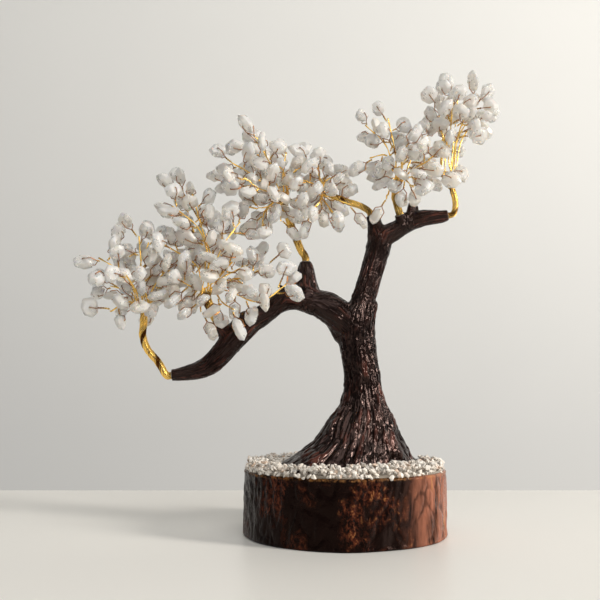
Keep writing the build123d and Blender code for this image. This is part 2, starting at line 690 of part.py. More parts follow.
def segments_hit_chip(starts, ends, chip, room):
    """Whether any segment comes within room of a faceted chip."""
    enter = np.zeros(len(starts))
    leave = np.ones(len(starts))
    reach = chip["depths"] + room
    d0 = starts @ chip["normals"].T - reach
    d1 = ends @ chip["normals"].T - reach
    slope = d1 - d0
    hit = np.ones(len(starts), bool)
    flat = np.abs(slope) < flat_limit
    hit &= ~np.any(flat & (d0 > 0), axis=1)
    cross = np.where(flat, 0, -d0 / np.where(flat, 1, slope))
    enter = np.maximum(enter, np.max(np.where(~flat & (slope < 0), cross, 0), axis=1))
    leave = np.minimum(leave, np.min(np.where(~flat & (slope > 0), cross, 1), axis=1))
    return bool(np.any(hit & (enter < leave)))


def chips_apart(one, other, room):
    """Whether a facet of either chip parts it from the other."""
    for a, b in ((one, other), (other, one)):
        spread = b["corners"] @ a["normals"].T - a["depths"]
        if np.max(np.min(spread, axis=0)) > room:
            return True
    return False


# Chips and their twigs

def chip_shape(centre, long_way, wide_way, thin_way):
    """Corners and facets of one tumbled chip about its drilled middle."""
    length = rng.uniform(chip_length_low, chip_length_high)
    width = min(length, rng.uniform(chip_width_low, chip_width_high))
    thickness = rng.uniform(chip_thickness_low, chip_thickness_high)
    sides = rng.choice([6, 6, 7])
    sway = corner_sway_share
    angles = [2 * math.pi * (k + rng.uniform(-sway, sway)) / sides for k in range(sides)]
    girdle = rng.uniform(-girdle_share, girdle_share)
    levels = [(-0.5, rng.uniform(*end_scale_shares)), (girdle, 1), (0.5, rng.uniform(*end_scale_shares))]
    rings = []
    for level, (height, scale) in enumerate(levels):
        drift = [rng.uniform(-drift_share, drift_share) if level != 1 else 0 for _ in range(2)]
        ring = []
        for angle in angles:
            ring.append(centre + long_way * length / 2 * (scale * math.cos(angle) + drift[0])
                        + wide_way * width / 2 * (scale * math.sin(angle) + drift[1])
                        + thin_way * thickness * height)
        rings.append(np.array(ring))
    corners = np.vstack(rings)
    normals = [-thin_way, thin_way]
    depths = [np.dot(rings[0][0], -thin_way), np.dot(rings[-1][0], thin_way)]
    for under, over in zip(rings, rings[1:]):
        for i in range(sides):
            j = (i + 1) % sides
            normal = unit(np.cross(under[j] - under[i], over[i] - under[i]))
            if np.dot(normal, under[i] - centre) < 0:
                normal = -normal
            normals.append(normal)
            depths.append(np.dot(normal, under[i]))
    return {"centre": centre, "rings": rings, "corners": corners, "thin": thin_way,
            "normals": np.array(normals), "depths": np.array(depths),
            "reach": float(np.max(np.linalg.norm(corners - centre, axis=1))), "thickness": thickness}


def twig_points(chip, base, ahead):
    """A twig's wire: up one leg, through the chip and back down the other leg."""
    hole = chip["thin"]
    centre = chip["centre"]
    radius = wire_diameter / 2
    bend = bend_share * wire_diameter
    rel = chip["corners"] - centre
    fore = np.max(rel @ hole) + bend
    aft = np.max(-rel @ hole) + bend
    edge = np.max(-rel @ ahead)
    leg = radius + wire_gap / 2
    neck = centre - ahead * (edge + neck_room)
    for drop in leg_drop_shares:
        points = [base + hole * leg, neck + hole * leg, centre + hole * fore - ahead * edge * drop,
                  centre + hole * fore, centre - hole * aft, centre - hole * aft - ahead * edge * drop,
                  neck - hole * leg, base - hole * leg]
        wire = np.array(points)
        starts = wire[[1, 2, 4, 5]]
        ends = wire[[2, 3, 5, 6]]
        if not segments_hit_chip(starts, ends, chip, radius + wire_clearance / 2):
            return wire
    return wire


class Crown:
    """Everything that has been placed so far, for the room tests."""

    def __init__(self):
        self.wire_starts = np.zeros((0, 3))
        self.wire_ends = np.zeros((0, 3))
        self.wire_radii = np.zeros(0)
        self.chips = []
        self.chip_centres = np.zeros((0, 3))
        self.bough_starts = np.zeros((0, 3))
        self.bough_ends = np.zeros((0, 3))
        self.bough_radii = np.zeros(0)

    def add_wire(self, points, radius):
        self.wire_starts = np.vstack([self.wire_starts, points[:-1]])
        self.wire_ends = np.vstack([self.wire_ends, points[1:]])
        self.wire_radii = np.concatenate([self.wire_radii, np.full(len(points) - 1, radius)])

    def add_bough(self, points, radii):
        self.bough_starts = np.vstack([self.bough_starts, points[:-1]])
        self.bough_ends = np.vstack([self.bough_ends, points[1:]])
        thicker = np.maximum(radii[:-1], radii[1:])
        self.bough_radii = np.concatenate([self.bough_radii, thicker])

    def add_chip(self, chip):
        self.chips.append(chip)
        self.chip_centres = np.vstack([self.chip_centres, chip["centre"]])

    def fits(self, chip, wire):
        """Whether a chip and its twig clear everything."""
        starts = wire[:-1]
        ends = wire[1:]
        reach = chip["reach"]
        centre = chip["centre"]
        axis = (centre[None, :], centre[None, :] + chip["thin"][None, :] * wire_diameter)
        limb_gap = segment_gaps(*axis, self.bough_starts, self.bough_ends)[0] - self.bough_radii
        if np.min(limb_gap) < reach + chip_clearance:
            return False
        bark_gap = segment_gaps(starts, ends, self.bough_starts, self.bough_ends) - self.bough_radii
        if np.min(bark_gap) < wire_diameter / 2 + wire_clearance:
            return False
        span = reach + twig_high + chip_length_high
        middle = (self.wire_starts + self.wire_ends) / 2
        close = np.linalg.norm(middle - centre, axis=1) < span + lay_length / 2
        near_starts = self.wire_starts[close]
        near_ends = self.wire_ends[close]
        near_radii = self.wire_radii[close]
        if len(near_starts):
            gaps = segment_gaps(starts, ends, near_starts, near_ends) - near_radii
            if np.min(gaps) < wire_diameter / 2 + wire_clearance / 2:
                return False
            for radius in set(near_radii):
                some = near_radii == radius
                if segments_hit_chip(near_starts[some], near_ends[some], chip, radius + wire_clearance):
                    return False
        if self.chips:
            away = np.linalg.norm(self.chip_centres - centre, axis=1)
            for index in np.nonzero(away < span + chip_length_high)[0]:
                other = self.chips[index]
                if away[index] < reach + other["reach"] and not chips_apart(chip, other, chip_clearance):
                    return False
                if segments_hit_chip(starts, ends, other, wire_diameter / 2 + wire_clearance):
                    return False
        return True


def hang_chips(crown, line, wound_count, count, bare_share):
    """Hang chips on one strand, from the end of its bare part to its tip."""
    free = line[wound_count - 1:]
    runs = np.concatenate([[0], np.cumsum(np.linalg.norm(np.diff(free, axis=0), axis=1))])
    hung = []
    turn = rng.uniform(0, 2 * math.pi)
    for number in range(count):
        fraction = 1 - (1 - bare_share) * number / max(1, count - 1)
        placed = False
        for attempt in range(chip_tries):
            spread = spread_share + spread_gain_share * attempt / chip_tries
            share = min(1, max(bare_share - bare_slack_share, fraction + rng.uniform(-spread, spread)))
            along = share * runs[-1]
            base = np.array([np.interp(along, runs, free[:, k]) for k in range(3)])
            index = min(len(free) - 2, int(np.searchsorted(runs, along, side="right")) - 1)
            ahead = unit(free[index + 1] - free[index])
            side = any_across(ahead)
            azimuth = turn + turn_step * number + rng.uniform(-turn_sway, turn_sway) * (1 + attempt / sway_tries)
            radial = math.cos(azimuth) * side + math.sin(azimuth) * np.cross(ahead, side)
            lean = math.radians(rng.uniform(*(tip_lean if share > tip_share else side_lean)))
            out = math.cos(lean) * ahead + math.sin(lean) * radial
            start = base + radial * (strand_diameter / 2 + wire_diameter * seat_share + wire_gap + wire_clearance)
            hole = across(out, np.array([rng.uniform(-1, 1) for _ in range(3)]))
            third = np.cross(out, hole)
            roll = rng.uniform(0, math.pi)
            long_way = math.cos(roll) * out + math.sin(roll) * third
            wide_way = np.cross(hole, long_way)
            bare = rng.uniform(twig_low, twig_high)
            guess = start + out * (bare + neck_room + chip_width_high / 2)
            chip = chip_shape(guess, long_way, wide_way, hole)
            wire = twig_points(chip, start, out)
            if crown.fits(chip, wire):
                placed = True
                break
        if placed:
            crown.add_chip(chip)
            crown.add_wire(wire, wire_diameter / 2)
            hung.append((chip, wire))
    return hung


def make_chip(chip):
    body = prism_stack([[tuple(p) for p in ring] for ring in chip["rings"]])
    drill = Cylinder(drill_diameter / 2, 2 * chip["thickness"])
    plane = Plane(origin=tuple(chip["centre"]), z_dir=tuple(chip["thin"]))
    return body.cut(plane * drill).solid()


def bend_radii(points):
    """Radius of each bend of a wire, eased where its runs are short."""
    radii = []
    for before, corner, after in zip(points, points[1:], points[2:]):
        shorter = min(np.linalg.norm(corner - before), np.linalg.norm(after - corner))
        cosine = np.dot(unit(corner - before), unit(after - corner))
        half_turn = math.acos(max(-1, min(1, cosine))) / 2
        radii.append(min(bend_share * wire_diameter, run_share * shorter / math.tan(half_turn)))
    return radii


def make_twig(wire):
    path = FilletPolyline(*[tuple(p) for p in wire], radius=bend_radii(wire))
    start = Plane(origin=path @ 0, z_dir=path % 0)
    return sweep(start * Circle(wire_diameter / 2), path=path).solid()


def make_strand(line):
    """One strand, many-sided in section."""
    ahead, sides = carried_frames(line)
    rings = []
    for point, direction, side in zip(line, ahead, sides):
        up = np.cross(direction, side)
        ring = []
        for k in range(strand_corners):
            angle = 2 * math.pi * k / strand_corners
            ring.append(Vector(*(point + strand_diameter / 2 * (math.cos(angle) * side + math.sin(angle) * up))))
        rings.append(Wire.make_polygon(ring))
    return Solid.make_loft(rings)


def make_socket_glue(name):
    mouth, out = stem_root(name)
    plane = Plane(origin=tuple(mouth - out * socket_depth), z_dir=tuple(out))
    outer = Cylinder(socket_radius(name) - glue_gap, socket_depth, align=(Align.CENTER, Align.CENTER, Align.MIN))
    inner = Cylinder(stem_outer(name) + glue_gap, socket_depth, align=(Align.CENTER, Align.CENTER, Align.MIN))
    return (plane * (outer - inner)).solid()


def main():
    os.makedirs("parts", exist_ok=True)
    save("log_base", [make_base()])
    save("base_screws", make_screws())
    save("trunk", [make_trunk()])
    save("glue_bed", [make_glue_bed()])
    for side, bits in make_gravel().items():
        save(f"gravel_{side}", bits)
        print("gravel", side, len(bits))
    save("socket_glue", [make_socket_glue(name) for name in bunch_plan_shares])

    crown = Crown()
    for points, radii in limbs.values():
        crown.add_bough(np.array(points), np.array(radii))
    strands = {name: strand_lines(name) for name in bunch_plan_shares}
    for lines in strands.values():
        for line, _ in lines:
            crown.add_wire(line, strand_diameter / 2)
    total = 0
    for name, lines in strands.items():
        hung = []
        for (line, wound), (_, count) in zip(lines, bunch_plan(name)["strands"]):
            hung += hang_chips(crown, line, wound, count, bunch_plan(name)["bare"])
        save(f"gold_stem_{name}", [make_strand(line) for line, _ in lines])
        save(f"gold_twigs_{name}", [make_twig(wire) for _, wire in hung])
        save(f"quartz_chips_{name}", [make_chip(chip) for chip, _ in hung])
        print(name, "chips", len(hung))
        total += len(hung)
    print("chips in all", total)


main()
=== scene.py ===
"""Dresses a gemstone tree ornament: quartz chips, gold wire, cast trunk, log and gravel."""

import functools
import math
import random

import bmesh
import bpy
import numpy as np
from bpy.props import FloatProperty, FloatVectorProperty, IntProperty, PointerProperty
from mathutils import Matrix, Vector, noise


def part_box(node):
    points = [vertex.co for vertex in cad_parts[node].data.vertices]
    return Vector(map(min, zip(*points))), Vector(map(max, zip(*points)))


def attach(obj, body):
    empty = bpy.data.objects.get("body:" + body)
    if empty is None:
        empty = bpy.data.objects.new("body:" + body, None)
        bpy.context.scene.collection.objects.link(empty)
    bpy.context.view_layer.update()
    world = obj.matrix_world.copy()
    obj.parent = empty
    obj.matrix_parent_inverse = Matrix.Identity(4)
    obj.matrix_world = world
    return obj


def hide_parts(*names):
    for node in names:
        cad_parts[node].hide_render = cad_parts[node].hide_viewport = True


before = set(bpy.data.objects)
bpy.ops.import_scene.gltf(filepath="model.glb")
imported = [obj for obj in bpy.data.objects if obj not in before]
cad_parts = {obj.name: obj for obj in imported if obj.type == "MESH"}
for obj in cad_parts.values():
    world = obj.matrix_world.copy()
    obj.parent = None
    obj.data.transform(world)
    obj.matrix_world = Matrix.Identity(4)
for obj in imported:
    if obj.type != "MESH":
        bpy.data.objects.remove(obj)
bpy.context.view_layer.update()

bl_info = {
    "name": "Gemstone tree dressing",
    "version": (1, 0, 0),
    "blender": (4, 5, 0),
    "location": "3D View > Sidebar > Gem tree",
    "description": "Tumbled quartz chips, twisted gold wire, carved trunk, bark log and gravel",
    "category": "Object",
}

MM = 0.001
BUNCHES = ("left_tip", "left_stub", "peak", "fork_stub", "arm_nub", "arm_tip")
SIDES = ("front", "back", "left", "right")
LOG_LOW, LOG_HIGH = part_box("log_base")
GLUE_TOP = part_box("glue_bed")[1][2]
TRUNK_LOW, TRUNK_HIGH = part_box("trunk")

# Lines are read off the CAD wires, and wound again, at these steps
STEM_READ_STEP = 1.2 * MM
TWIG_READ_STEP = 0.3 * MM
TWIG_CAD_RADIUS = 0.2 * MM
STRAND_STEP = 0.5 * MM
TWIG_STEP = 0.26 * MM

# How far a point's place moves round a limb for the bark's pattern, in metres
TRUNK_TURN = 0.0135
LIMB_TURN = 0.0070

FOOT_SECTORS = 72
PILE_HALF = 0.055
PILE_CELL = 0.0008

CAMERA_PLACE = (-0.0221, -0.396, 0.070)
CAMERA_PITCH = 6.68
LAMP_AIM = (0.0, 0.0, 0.11)

# The trunk's limbs as lines through their middles, for the lie of the bark: x, y
# and height in metres, with the limb's rough radius there
LIMBS = {
    "trunk": [((0.003, 0.000, 0.0315), 0.030), ((0.007, 0.000, 0.045), 0.021),
              ((0.0095, 0.000, 0.060), 0.014), ((0.0096, 0.000, 0.076), 0.010),
              ((0.007, 0.000, 0.096), 0.010), ((0.0088, 0.000, 0.110), 0.009),
              ((0.013, 0.001, 0.124), 0.0066), ((0.018, 0.003, 0.140), 0.0065),
              ((0.0205, 0.003, 0.149), 0.006)],
    "left_bough": [((0.0065, 0.000, 0.100), 0.009), ((-0.0026, 0.000, 0.1086), 0.0087),
                   ((-0.0108, 0.000, 0.1138), 0.0077), ((-0.0206, 0.000, 0.1164), 0.0064),
                   ((-0.0298, -0.001, 0.1163), 0.0059), ((-0.0379, -0.002, 0.110), 0.005),
                   ((-0.0475, -0.003, 0.1048), 0.0066), ((-0.0614, -0.005, 0.0889), 0.0059),
                   ((-0.0697, -0.006, 0.0814), 0.005), ((-0.077, -0.007, 0.0789), 0.0042),
                   ((-0.0861, -0.008, 0.0777), 0.003)],
    "arm": [((0.018, 0.003, 0.141), 0.006), ((0.0233, 0.002, 0.1500), 0.0057),
            ((0.0289, 0.001, 0.1535), 0.005), ((0.0362, 0.000, 0.1573), 0.0047),
            ((0.0444, -0.001, 0.1594), 0.0044), ((0.0547, -0.003, 0.1602), 0.003)],
    "peak": [((-0.018, 0.000, 0.113), 0.006), ((-0.019, 0.003, 0.125), 0.0056),
             ((-0.019, 0.004, 0.137), 0.0038)],
    "left_stub": [((-0.0555, -0.004, 0.0925), 0.005), ((-0.064, -0.006, 0.1056), 0.0038)],
    "fork_stub": [((0.019, 0.003, 0.143), 0.0055), ((0.0149, 0.002, 0.1614), 0.0038)],
    "arm_nub": [((0.032, 0.000, 0.154), 0.004), ((0.0296, -0.003, 0.1608), 0.003)],
    "arm_spur": [((0.035, -0.001, 0.156), 0.004), ((0.0367, -0.001, 0.1702), 0.001)],
}


# Properties

class GemTreeWire(bpy.types.PropertyGroup):
    """Sizes and colours of the gold wire."""
    twig_radius: FloatProperty(
        name="Twig wire radius", description="Radius of one leg of a twig", default=0.00023, unit="LENGTH")
    twig_offset: FloatProperty(
        name="Twig twist radius", description="From a twig's middle to each of its legs", default=0.00025,
        unit="LENGTH")
    twig_lay: FloatProperty(
        name="Twig lay", description="Length of one turn of a twig's legs", default=0.0024, unit="LENGTH")
    strand_wires: IntProperty(
        name="Wires in a strand", description="Wires twisted into each strand", default=2, min=2)
    strand_fill: FloatProperty(
        name="Strand fill", description="How hard the wires press together, 1 where they just touch",
        default=1.15)
    strand_lay: FloatProperty(
        name="Strand lay", description="Length of one turn of a strand's wires", default=0.016, unit="LENGTH")
    strand_radius: FloatProperty(
        name="Strand radius", description="Radius over a strand's wires", default=0.00042, unit="LENGTH")
    colour: FloatVectorProperty(
        name="Wire gold", description="Bright gold of the wire", subtype="COLOR", size=3,
        default=(1.0, 0.68, 0.19))
    bronze: FloatVectorProperty(
        name="Twig bronze", description="Brown orange of the wire at the chips", subtype="COLOR", size=3,
        default=(0.32, 0.120, 0.022))
    # Painted shade: the dark brown laid where wires lie deep between twisted wires and in a stem's inside
    shade: FloatVectorProperty(
        name="Wire shade", description="Dark brown between twisted wires", subtype="COLOR", size=3,
        default=(0.11, 0.038, 0.006))


class GemTreeChips(bpy.types.PropertyGroup):
    """Shape and colour of the tumbled chips."""
    segments: IntProperty(name="Segments", description="Steps round a chip", default=38, min=8)
    rings: IntProperty(name="Rings", description="Steps from one mouth of the drilled hole to the other",
                       default=21, min=5)
    hole_radius: FloatProperty(name="Hole radius", description="Radius of the drilled hole", default=0.00042,
                               unit="LENGTH")
    roundness: FloatProperty(name="Edge power", description="Higher keeps the facets' edges sharper",
                             default=24.0)
    colour: FloatVectorProperty(name="Quartz", description="Milky quartz", subtype="COLOR", size=3,
                                default=(0.98, 0.95, 0.90))
    warm: FloatVectorProperty(name="Warm quartz", description="Warm pinkish chips", subtype="COLOR", size=3,
                              default=(0.98, 0.91, 0.83))
    grey: FloatVectorProperty(name="Clear quartz", description="Clearer greyish chips", subtype="COLOR",
                              size=3, default=(0.93, 0.91, 0.88))


class GemTreeTrunk(bpy.types.PropertyGroup):
    """Carving and colour of the cast trunk."""
    voxel: FloatProperty(name="Mesh step", description="Edge length of the trunk's mesh", default=0.00052,
                         unit="LENGTH")
    depth: FloatProperty(name="Groove depth", description="Depth of the grooves, of the limb's radius",
                         default=0.15)
    fibre_share: FloatProperty(name="Fibre stretch", description="Lower draws the bark's lines out longer",
                               default=0.13)
    colour: FloatVectorProperty(name="Resin", description="Dark brown resin", subtype="COLOR", size=3,
                                default=(0.0022, 0.0008, 0.0007))
    ridge: FloatVectorProperty(name="Ridges", description="Rubbed red brown on the ridges", subtype="COLOR",
                               size=3, default=(0.085, 0.026, 0.018))


class GemTreeLog(bpy.types.PropertyGroup):
    """Bark and colours of the log base."""
    voxel: FloatProperty(name="Mesh step", description="Edge length of the log's mesh", default=0.00070,
                         unit="LENGTH")
    depth: FloatProperty(name="Bark depth", description="Depth of the bark's hollows", default=0.0008,
                         unit="LENGTH")
    dark: FloatVectorProperty(name="Dark bark", description="Near-black lacquered bark", subtype="COLOR",
                              size=3, default=(0.0030, 0.0012, 0.0010))
    red: FloatVectorProperty(name="Red bark", description="Red brown bark", subtype="COLOR", size=3,
                             default=(0.085, 0.021, 0.010))
    # Ochre serves the real worn patches and the rim, and also painted light on the log's right side
    ochre: FloatVectorProperty(name="Ochre bark", description="Worn ochre patches", subtype="COLOR", size=3,
                               default=(0.42, 0.19, 0.060))
    # Painted light: the tan laid on the log's right side, where the lamp's light falls; the rim is ochre
    tan: FloatVectorProperty(name="Tan wood", description="Bare wood of the rim and the rubbed side",
                             subtype="COLOR", size=3, default=(0.36, 0.135, 0.080))


class GemTreeGravel(bpy.types.PropertyGroup):
    """Crushed quartz round the foot."""
    edge_bits: IntProperty(name="Edge bits", description="Bits laid along the rim before the rest",
                           default=230, min=0)
    bits: IntProperty(name="Bits", description="Bits dropped on the whole bed", default=1450, min=1)
    low: FloatProperty(name="Smallest", description="Smallest bit across", default=0.0024, unit="LENGTH")
    high: FloatProperty(name="Largest", description="Largest bit across", default=0.0046, unit="LENGTH")
    colour: FloatVectorProperty(name="Crushed quartz", description="White crushed quartz", subtype="COLOR",
                                size=3, default=(0.78, 0.72, 0.64))


class GemTreeStage(bpy.types.PropertyGroup):
    """Table, wall, lamps and camera."""
    table: FloatVectorProperty(name="Table", description="White table top", subtype="COLOR", size=3,
                               default=(0.80, 0.785, 0.74))
    wall: FloatVectorProperty(name="Wall", description="Pale grey wall", subtype="COLOR", size=3,
                              default=(0.80, 0.80, 0.778))
    table_back: FloatProperty(name="Table's back edge", description="How far the table goes back",
                              default=0.165, unit="LENGTH")
    wall_back: FloatProperty(name="Wall's place", description="How far back the wall stands",
                             default=0.90, unit="LENGTH")
    lens: FloatProperty(name="Lens", description="Focal length of the camera", default=46.5)


class GemTreeSettings(bpy.types.PropertyGroup):
    """All settings of the dressing."""
    wire: PointerProperty(type=GemTreeWire)
    chips: PointerProperty(type=GemTreeChips)
    trunk: PointerProperty(type=GemTreeTrunk)
    log: PointerProperty(type=GemTreeLog)
    gravel: PointerProperty(type=GemTreeGravel)
    stage: PointerProperty(type=GemTreeStage)


# Shader sums

class Value:
    """A shader socket that takes part in Python sums."""

    def __init__(self, shader, socket):
        self.shader = shader
        self.socket = socket

    def sum(self, operation, first, second):
        return self.shader.node("ShaderNodeMath", {"operation": operation}, {0: first, 1: second})

    def __add__(self, other):
        return self.sum("ADD", self, other)

    def __radd__(self, other):
        return self.sum("ADD", other, self)

    def __sub__(self, other):
        return self.sum("SUBTRACT", self, other)

    def __rsub__(self, other):
        return self.sum("SUBTRACT", other, self)

    def __mul__(self, other):
        return self.sum("MULTIPLY", self, other)

    def __rmul__(self, other):
        return self.sum("MULTIPLY", other, self)

    def clamp(self, low, high):
        """Rises smoothly from 0 at low to 1 at high, or falls where low is the higher."""
        return self.shader.node("ShaderNodeMapRange", {"interpolation_type": "SMOOTHSTEP"},
                                {0: self, 1: low, 2: high, 3: 0.0, 4: 1.0})


class Shader:
    """One material and the nodes that drive its surface."""

    def __init__(self, name, **constants):
        self.material = bpy.data.materials.new(name)
        self.material.use_nodes = True
        self.tree = self.material.node_tree
        self.tree.nodes.clear()
        self.surface = self.tree.nodes.new("ShaderNodeBsdfPrincipled")
        self.out = self.tree.nodes.new("ShaderNodeOutputMaterial")
        self.tree.links.new(self.surface.outputs[0], self.out.inputs["Surface"])
        for key, value in constants.items():
            socket = key.replace("_", " ").title().replace("Ior", "IOR")
            self.surface.inputs[socket].default_value = value
        self.place = self.node("ShaderNodeTexCoord", output="Object")

    def feed(self, node, sockets):
        for key, value in sockets.items():
            if isinstance(value, Value):
                self.tree.links.new(value.socket, node.inputs[key])
            else:
                node.inputs[key].default_value = value

    def node(self, kind, settings=None, sockets=None, output=0):
        """Adds a node: its settings first, then the values or links of its sockets."""
        node = self.tree.nodes.new(kind)
        for key, value in (settings or {}).items():
            setattr(node, key, value)
        self.feed(node, sockets or {})
        return Value(self, node.outputs[output])

    def noise(self, scale, detail=3.0, rough=0.5, where=None, distortion=0.0):
        return self.node("ShaderNodeTexNoise", None,
                         {"Vector": where or self.place, "Scale": scale, "Detail": detail, "Roughness": rough,
                          "Distortion": distortion})

    def stretched(self, x, y, z):
        """The object's place, with each direction scaled."""
        return self.node("ShaderNodeMapping", None, {"Vector": self.place, "Scale": (x, y, z)})

    def mix(self, factor, first, second):
        """Between two colours."""
        first = first if isinstance(first, Value) else (*first, 1.0)
        second = second if isinstance(second, Value) else (*second, 1.0)
        return self.node("ShaderNodeMix", {"data_type": "RGBA"}, {0: factor, 6: first, 7: second}, output=2)

    def bump(self, height, distance, strength=1.0):
        self.drive(Normal=self.node("ShaderNodeBump", None,
                                    {"Height": height, "Distance": distance, "Strength": strength}))

    def drive(self, **sockets):
        self.feed(self.surface, {key.replace("_", " "): value for key, value in sockets.items()})

    def attribute(self, name):
        return self.node("ShaderNodeAttribute", {"attribute_name": name}, output="Fac")


def gold_material(look):
    """Gold-coloured wire with painted shade between twisted wires, browner towards the chips."""
    shader = Shader("gold_wire", metallic=1.0)
    patches = shader.noise(120.0, 2.0).clamp(0.50, 0.72)
    fine = shader.noise(900.0, 2.0)
    colour = shader.mix(shader.attribute("tip"), look.colour, look.bronze)
    colour = shader.mix(patches * 0.22, colour, look.bronze)
    # Painted shade: darker brown where the wire lies deep in its twist or in its stem
    colour = shader.mix(shader.attribute("painted_shade_amount"), colour, look.shade)
    shader.drive(Base_Color=colour, Roughness=fine * 0.10 + 0.20)
    shader.bump(fine, 0.00002, 0.3)
    return shader.material


def quartz_material(look):
    """Milky translucent quartz, each chip a little different, with clouds and bright flaws."""
    shader = Shader("quartz_chip", ior=1.46, subsurface_weight=0.7, subsurface_scale=0.006,
                    transmission_weight=0.50)
    shader.surface.inputs["Subsurface Radius"].default_value = (1.0, 0.88, 0.76)
    one = shader.node("ShaderNodeNewGeometry", output="Random Per Island")
    clouds = shader.noise(190.0, 4.0, 0.6)
    veins = shader.noise(420.0, 3.0, 0.55, distortion=1.2).clamp(0.55, 0.70)
    tint = shader.mix(one.clamp(0.50, 0.95), look.colour, look.warm)
    tint = shader.mix(one.clamp(0.35, 0.02) * 0.75, tint, look.grey)
    tint = shader.mix(clouds.clamp(0.45, 0.75) * 0.20, tint, look.grey)
    tint = shader.mix(veins * 0.5, tint, (0.99, 0.97, 0.94))
    shader.drive(Base_Color=tint, Roughness=clouds * 0.40 + 0.10)
    shader.bump(shader.noise(600.0, 3.0), 0.00007, 0.4)
    return shader.material


def resin_material(look):
    """Glossy near-black brown resin, rubbed redder on the ridges."""
    shader = Shader("trunk_resin", specular_ior_level=0.36, specular_tint=(1.0, 0.66, 0.58, 1.0))
    lie = shader.node("ShaderNodeAttribute", {"attribute_name": "lie"}, output="Vector")
    blotch = shader.noise(95.0, 3.0)
    fibre = shader.noise(560.0, 2.0, 0.45, where=lie)
    fine = shader.noise(1100.0, 4.0, 0.6)
    rubbed = shader.attribute("ridge").clamp(0.40, 0.95) * blotch.clamp(0.40, 0.66) * fibre.clamp(0.42, 0.62)
    shader.drive(Base_Color=shader.mix(rubbed, look.colour, look.ridge), Roughness=fine * 0.12 + 0.07)
    shader.bump(fibre * 0.95 + fine * 0.05, 0.0017, 1.0)
    return shader.material


def bark_material(look):
    """Lacquered bark: near-black, mottled red brown and ochre, with painted light as tan and ochre streaks on
    the right side, and an ochre rim.
    """
    shader = Shader("bark_wood", specular_ior_level=0.13, specular_tint=(1.0, 0.60, 0.50, 1.0))
    upright = shader.stretched(1.0, 1.0, 0.7)
    blotch = shader.noise(50.0, 4.0, 0.55, where=upright, distortion=0.5)
    speck = shader.noise(480.0, 4.0, 0.75, where=upright, distortion=0.3)
    grain = shader.noise(900.0, 4.0, 0.6, where=upright)
    streak = shader.noise(160.0, 4.0, 0.6, where=shader.stretched(1.0, 1.0, 0.16))
    east = shader.node("ShaderNodeSeparateXYZ", None, {0: shader.place}, output="X")
    height = shader.node("ShaderNodeSeparateXYZ", None, {0: shader.place}, output="Z")
    # Painted light: the right side, where the lamp falls, is laid lighter in tan and ochre
    side = (east + blotch * 0.02).clamp(0.032, 0.050)
    rim = (height + speck * 0.001).clamp(LOG_HIGH[2] - 0.0012, LOG_HIGH[2] - 0.0002)
    mottle = blotch.clamp(0.49, 0.64)
    colour = shader.mix(mottle * speck.clamp(0.42, 0.60), look.dark, look.red)
    # Ochre wear patches, painted stronger towards the lit right side as painted light
    wear_and_painted_light = mottle * speck.clamp(0.56, 0.70) * (east + 0.05).clamp(0.0, 0.08)
    colour = shader.mix(wear_and_painted_light * 0.8, colour, look.ochre)
    # Painted light: tan and ochre streaks over the right side
    colour = shader.mix(side * streak.clamp(0.30, 0.56) * 0.9, colour, look.tan)
    colour = shader.mix(side * streak.clamp(0.58, 0.66) * 0.7, colour, look.ochre)
    colour = shader.mix(shader.attribute("hollow").clamp(0.45, 0.9) * 0.7, colour, look.dark)
    colour = shader.mix(rim * speck.clamp(0.40, 0.70) * 0.5, colour, look.ochre)
    shader.drive(Base_Color=colour, Roughness=grain * 0.22 + 0.10)
    shader.bump(grain * 0.6 + speck * 0.9, 0.0003, 0.7)
    return shader.material


def gravel_material(look):
    """Crushed quartz: white and clear bits, and a few warm ones."""
    shader = Shader("crushed_quartz", ior=1.45, specular_ior_level=0.35)
    one = shader.node("ShaderNodeNewGeometry", output="Random Per Island")
    cloud = shader.noise(600.0, 3.0)
    tint = shader.mix(one.clamp(0.70, 0.99) * 0.8, look.colour, (0.46, 0.29, 0.18))
    tint = shader.mix(one.clamp(0.45, 0.05) * 0.8, tint, (0.40, 0.37, 0.33))
    tint = shader.mix(cloud.clamp(0.45, 0.65) * 0.55, tint, (0.93, 0.90, 0.85))
    shader.drive(Base_Color=tint, Roughness=cloud * 0.3 + 0.3)
    shader.bump(cloud, 0.00006, 0.3)
    return shader.material


def glue_with_gap_shade_material():
    """Cured clear glue, cloudy, laid a darker brown as painted shade of the gaps between the gravel bits."""
    shader = Shader("clear_glue", ior=1.47, transmission_weight=0.35)
    cloud = shader.noise(300.0, 3.0)
    # Painted shade: the glue is laid darker so it reads as shaded gaps between the gravel bits
    shader.drive(Base_Color=shader.mix(cloud, (0.26, 0.21, 0.16), (0.46, 0.41, 0.34)),
                 Roughness=cloud * 0.2 + 0.1)
    shader.bump(cloud, 0.0002, 0.5)
    return shader.material


def zinc_material():
    """Bright zinc with fine scratches along the screws."""
    shader = Shader("screw_steel", metallic=1.0)
    scratch = shader.noise(900.0, 3.0, where=shader.stretched(1.0, 1.0, 0.1))
    shader.drive(Base_Color=shader.mix(scratch, (0.46, 0.46, 0.45), (0.66, 0.66, 0.64)),
                 Roughness=scratch * 0.25 + 0.25)
    shader.bump(scratch, 0.00005, 0.4)
    return shader.material


# Meshes

def new_piece(name, vertices, faces, material, nodes, smooth=True):
    """A mesh piece that rides on the ornament and stands for the named CAD nodes."""
    mesh = bpy.data.meshes.new(name)
    mesh.from_pydata([tuple(v) for v in vertices], [], [tuple(f) for f in faces])
    mesh.validate()
    if smooth:
        mesh.shade_smooth()
    else:
        mesh.shade_flat()
    piece = bpy.data.objects.new(name, mesh)
    bpy.context.scene.collection.objects.link(piece)
    return dress(piece, material, nodes)


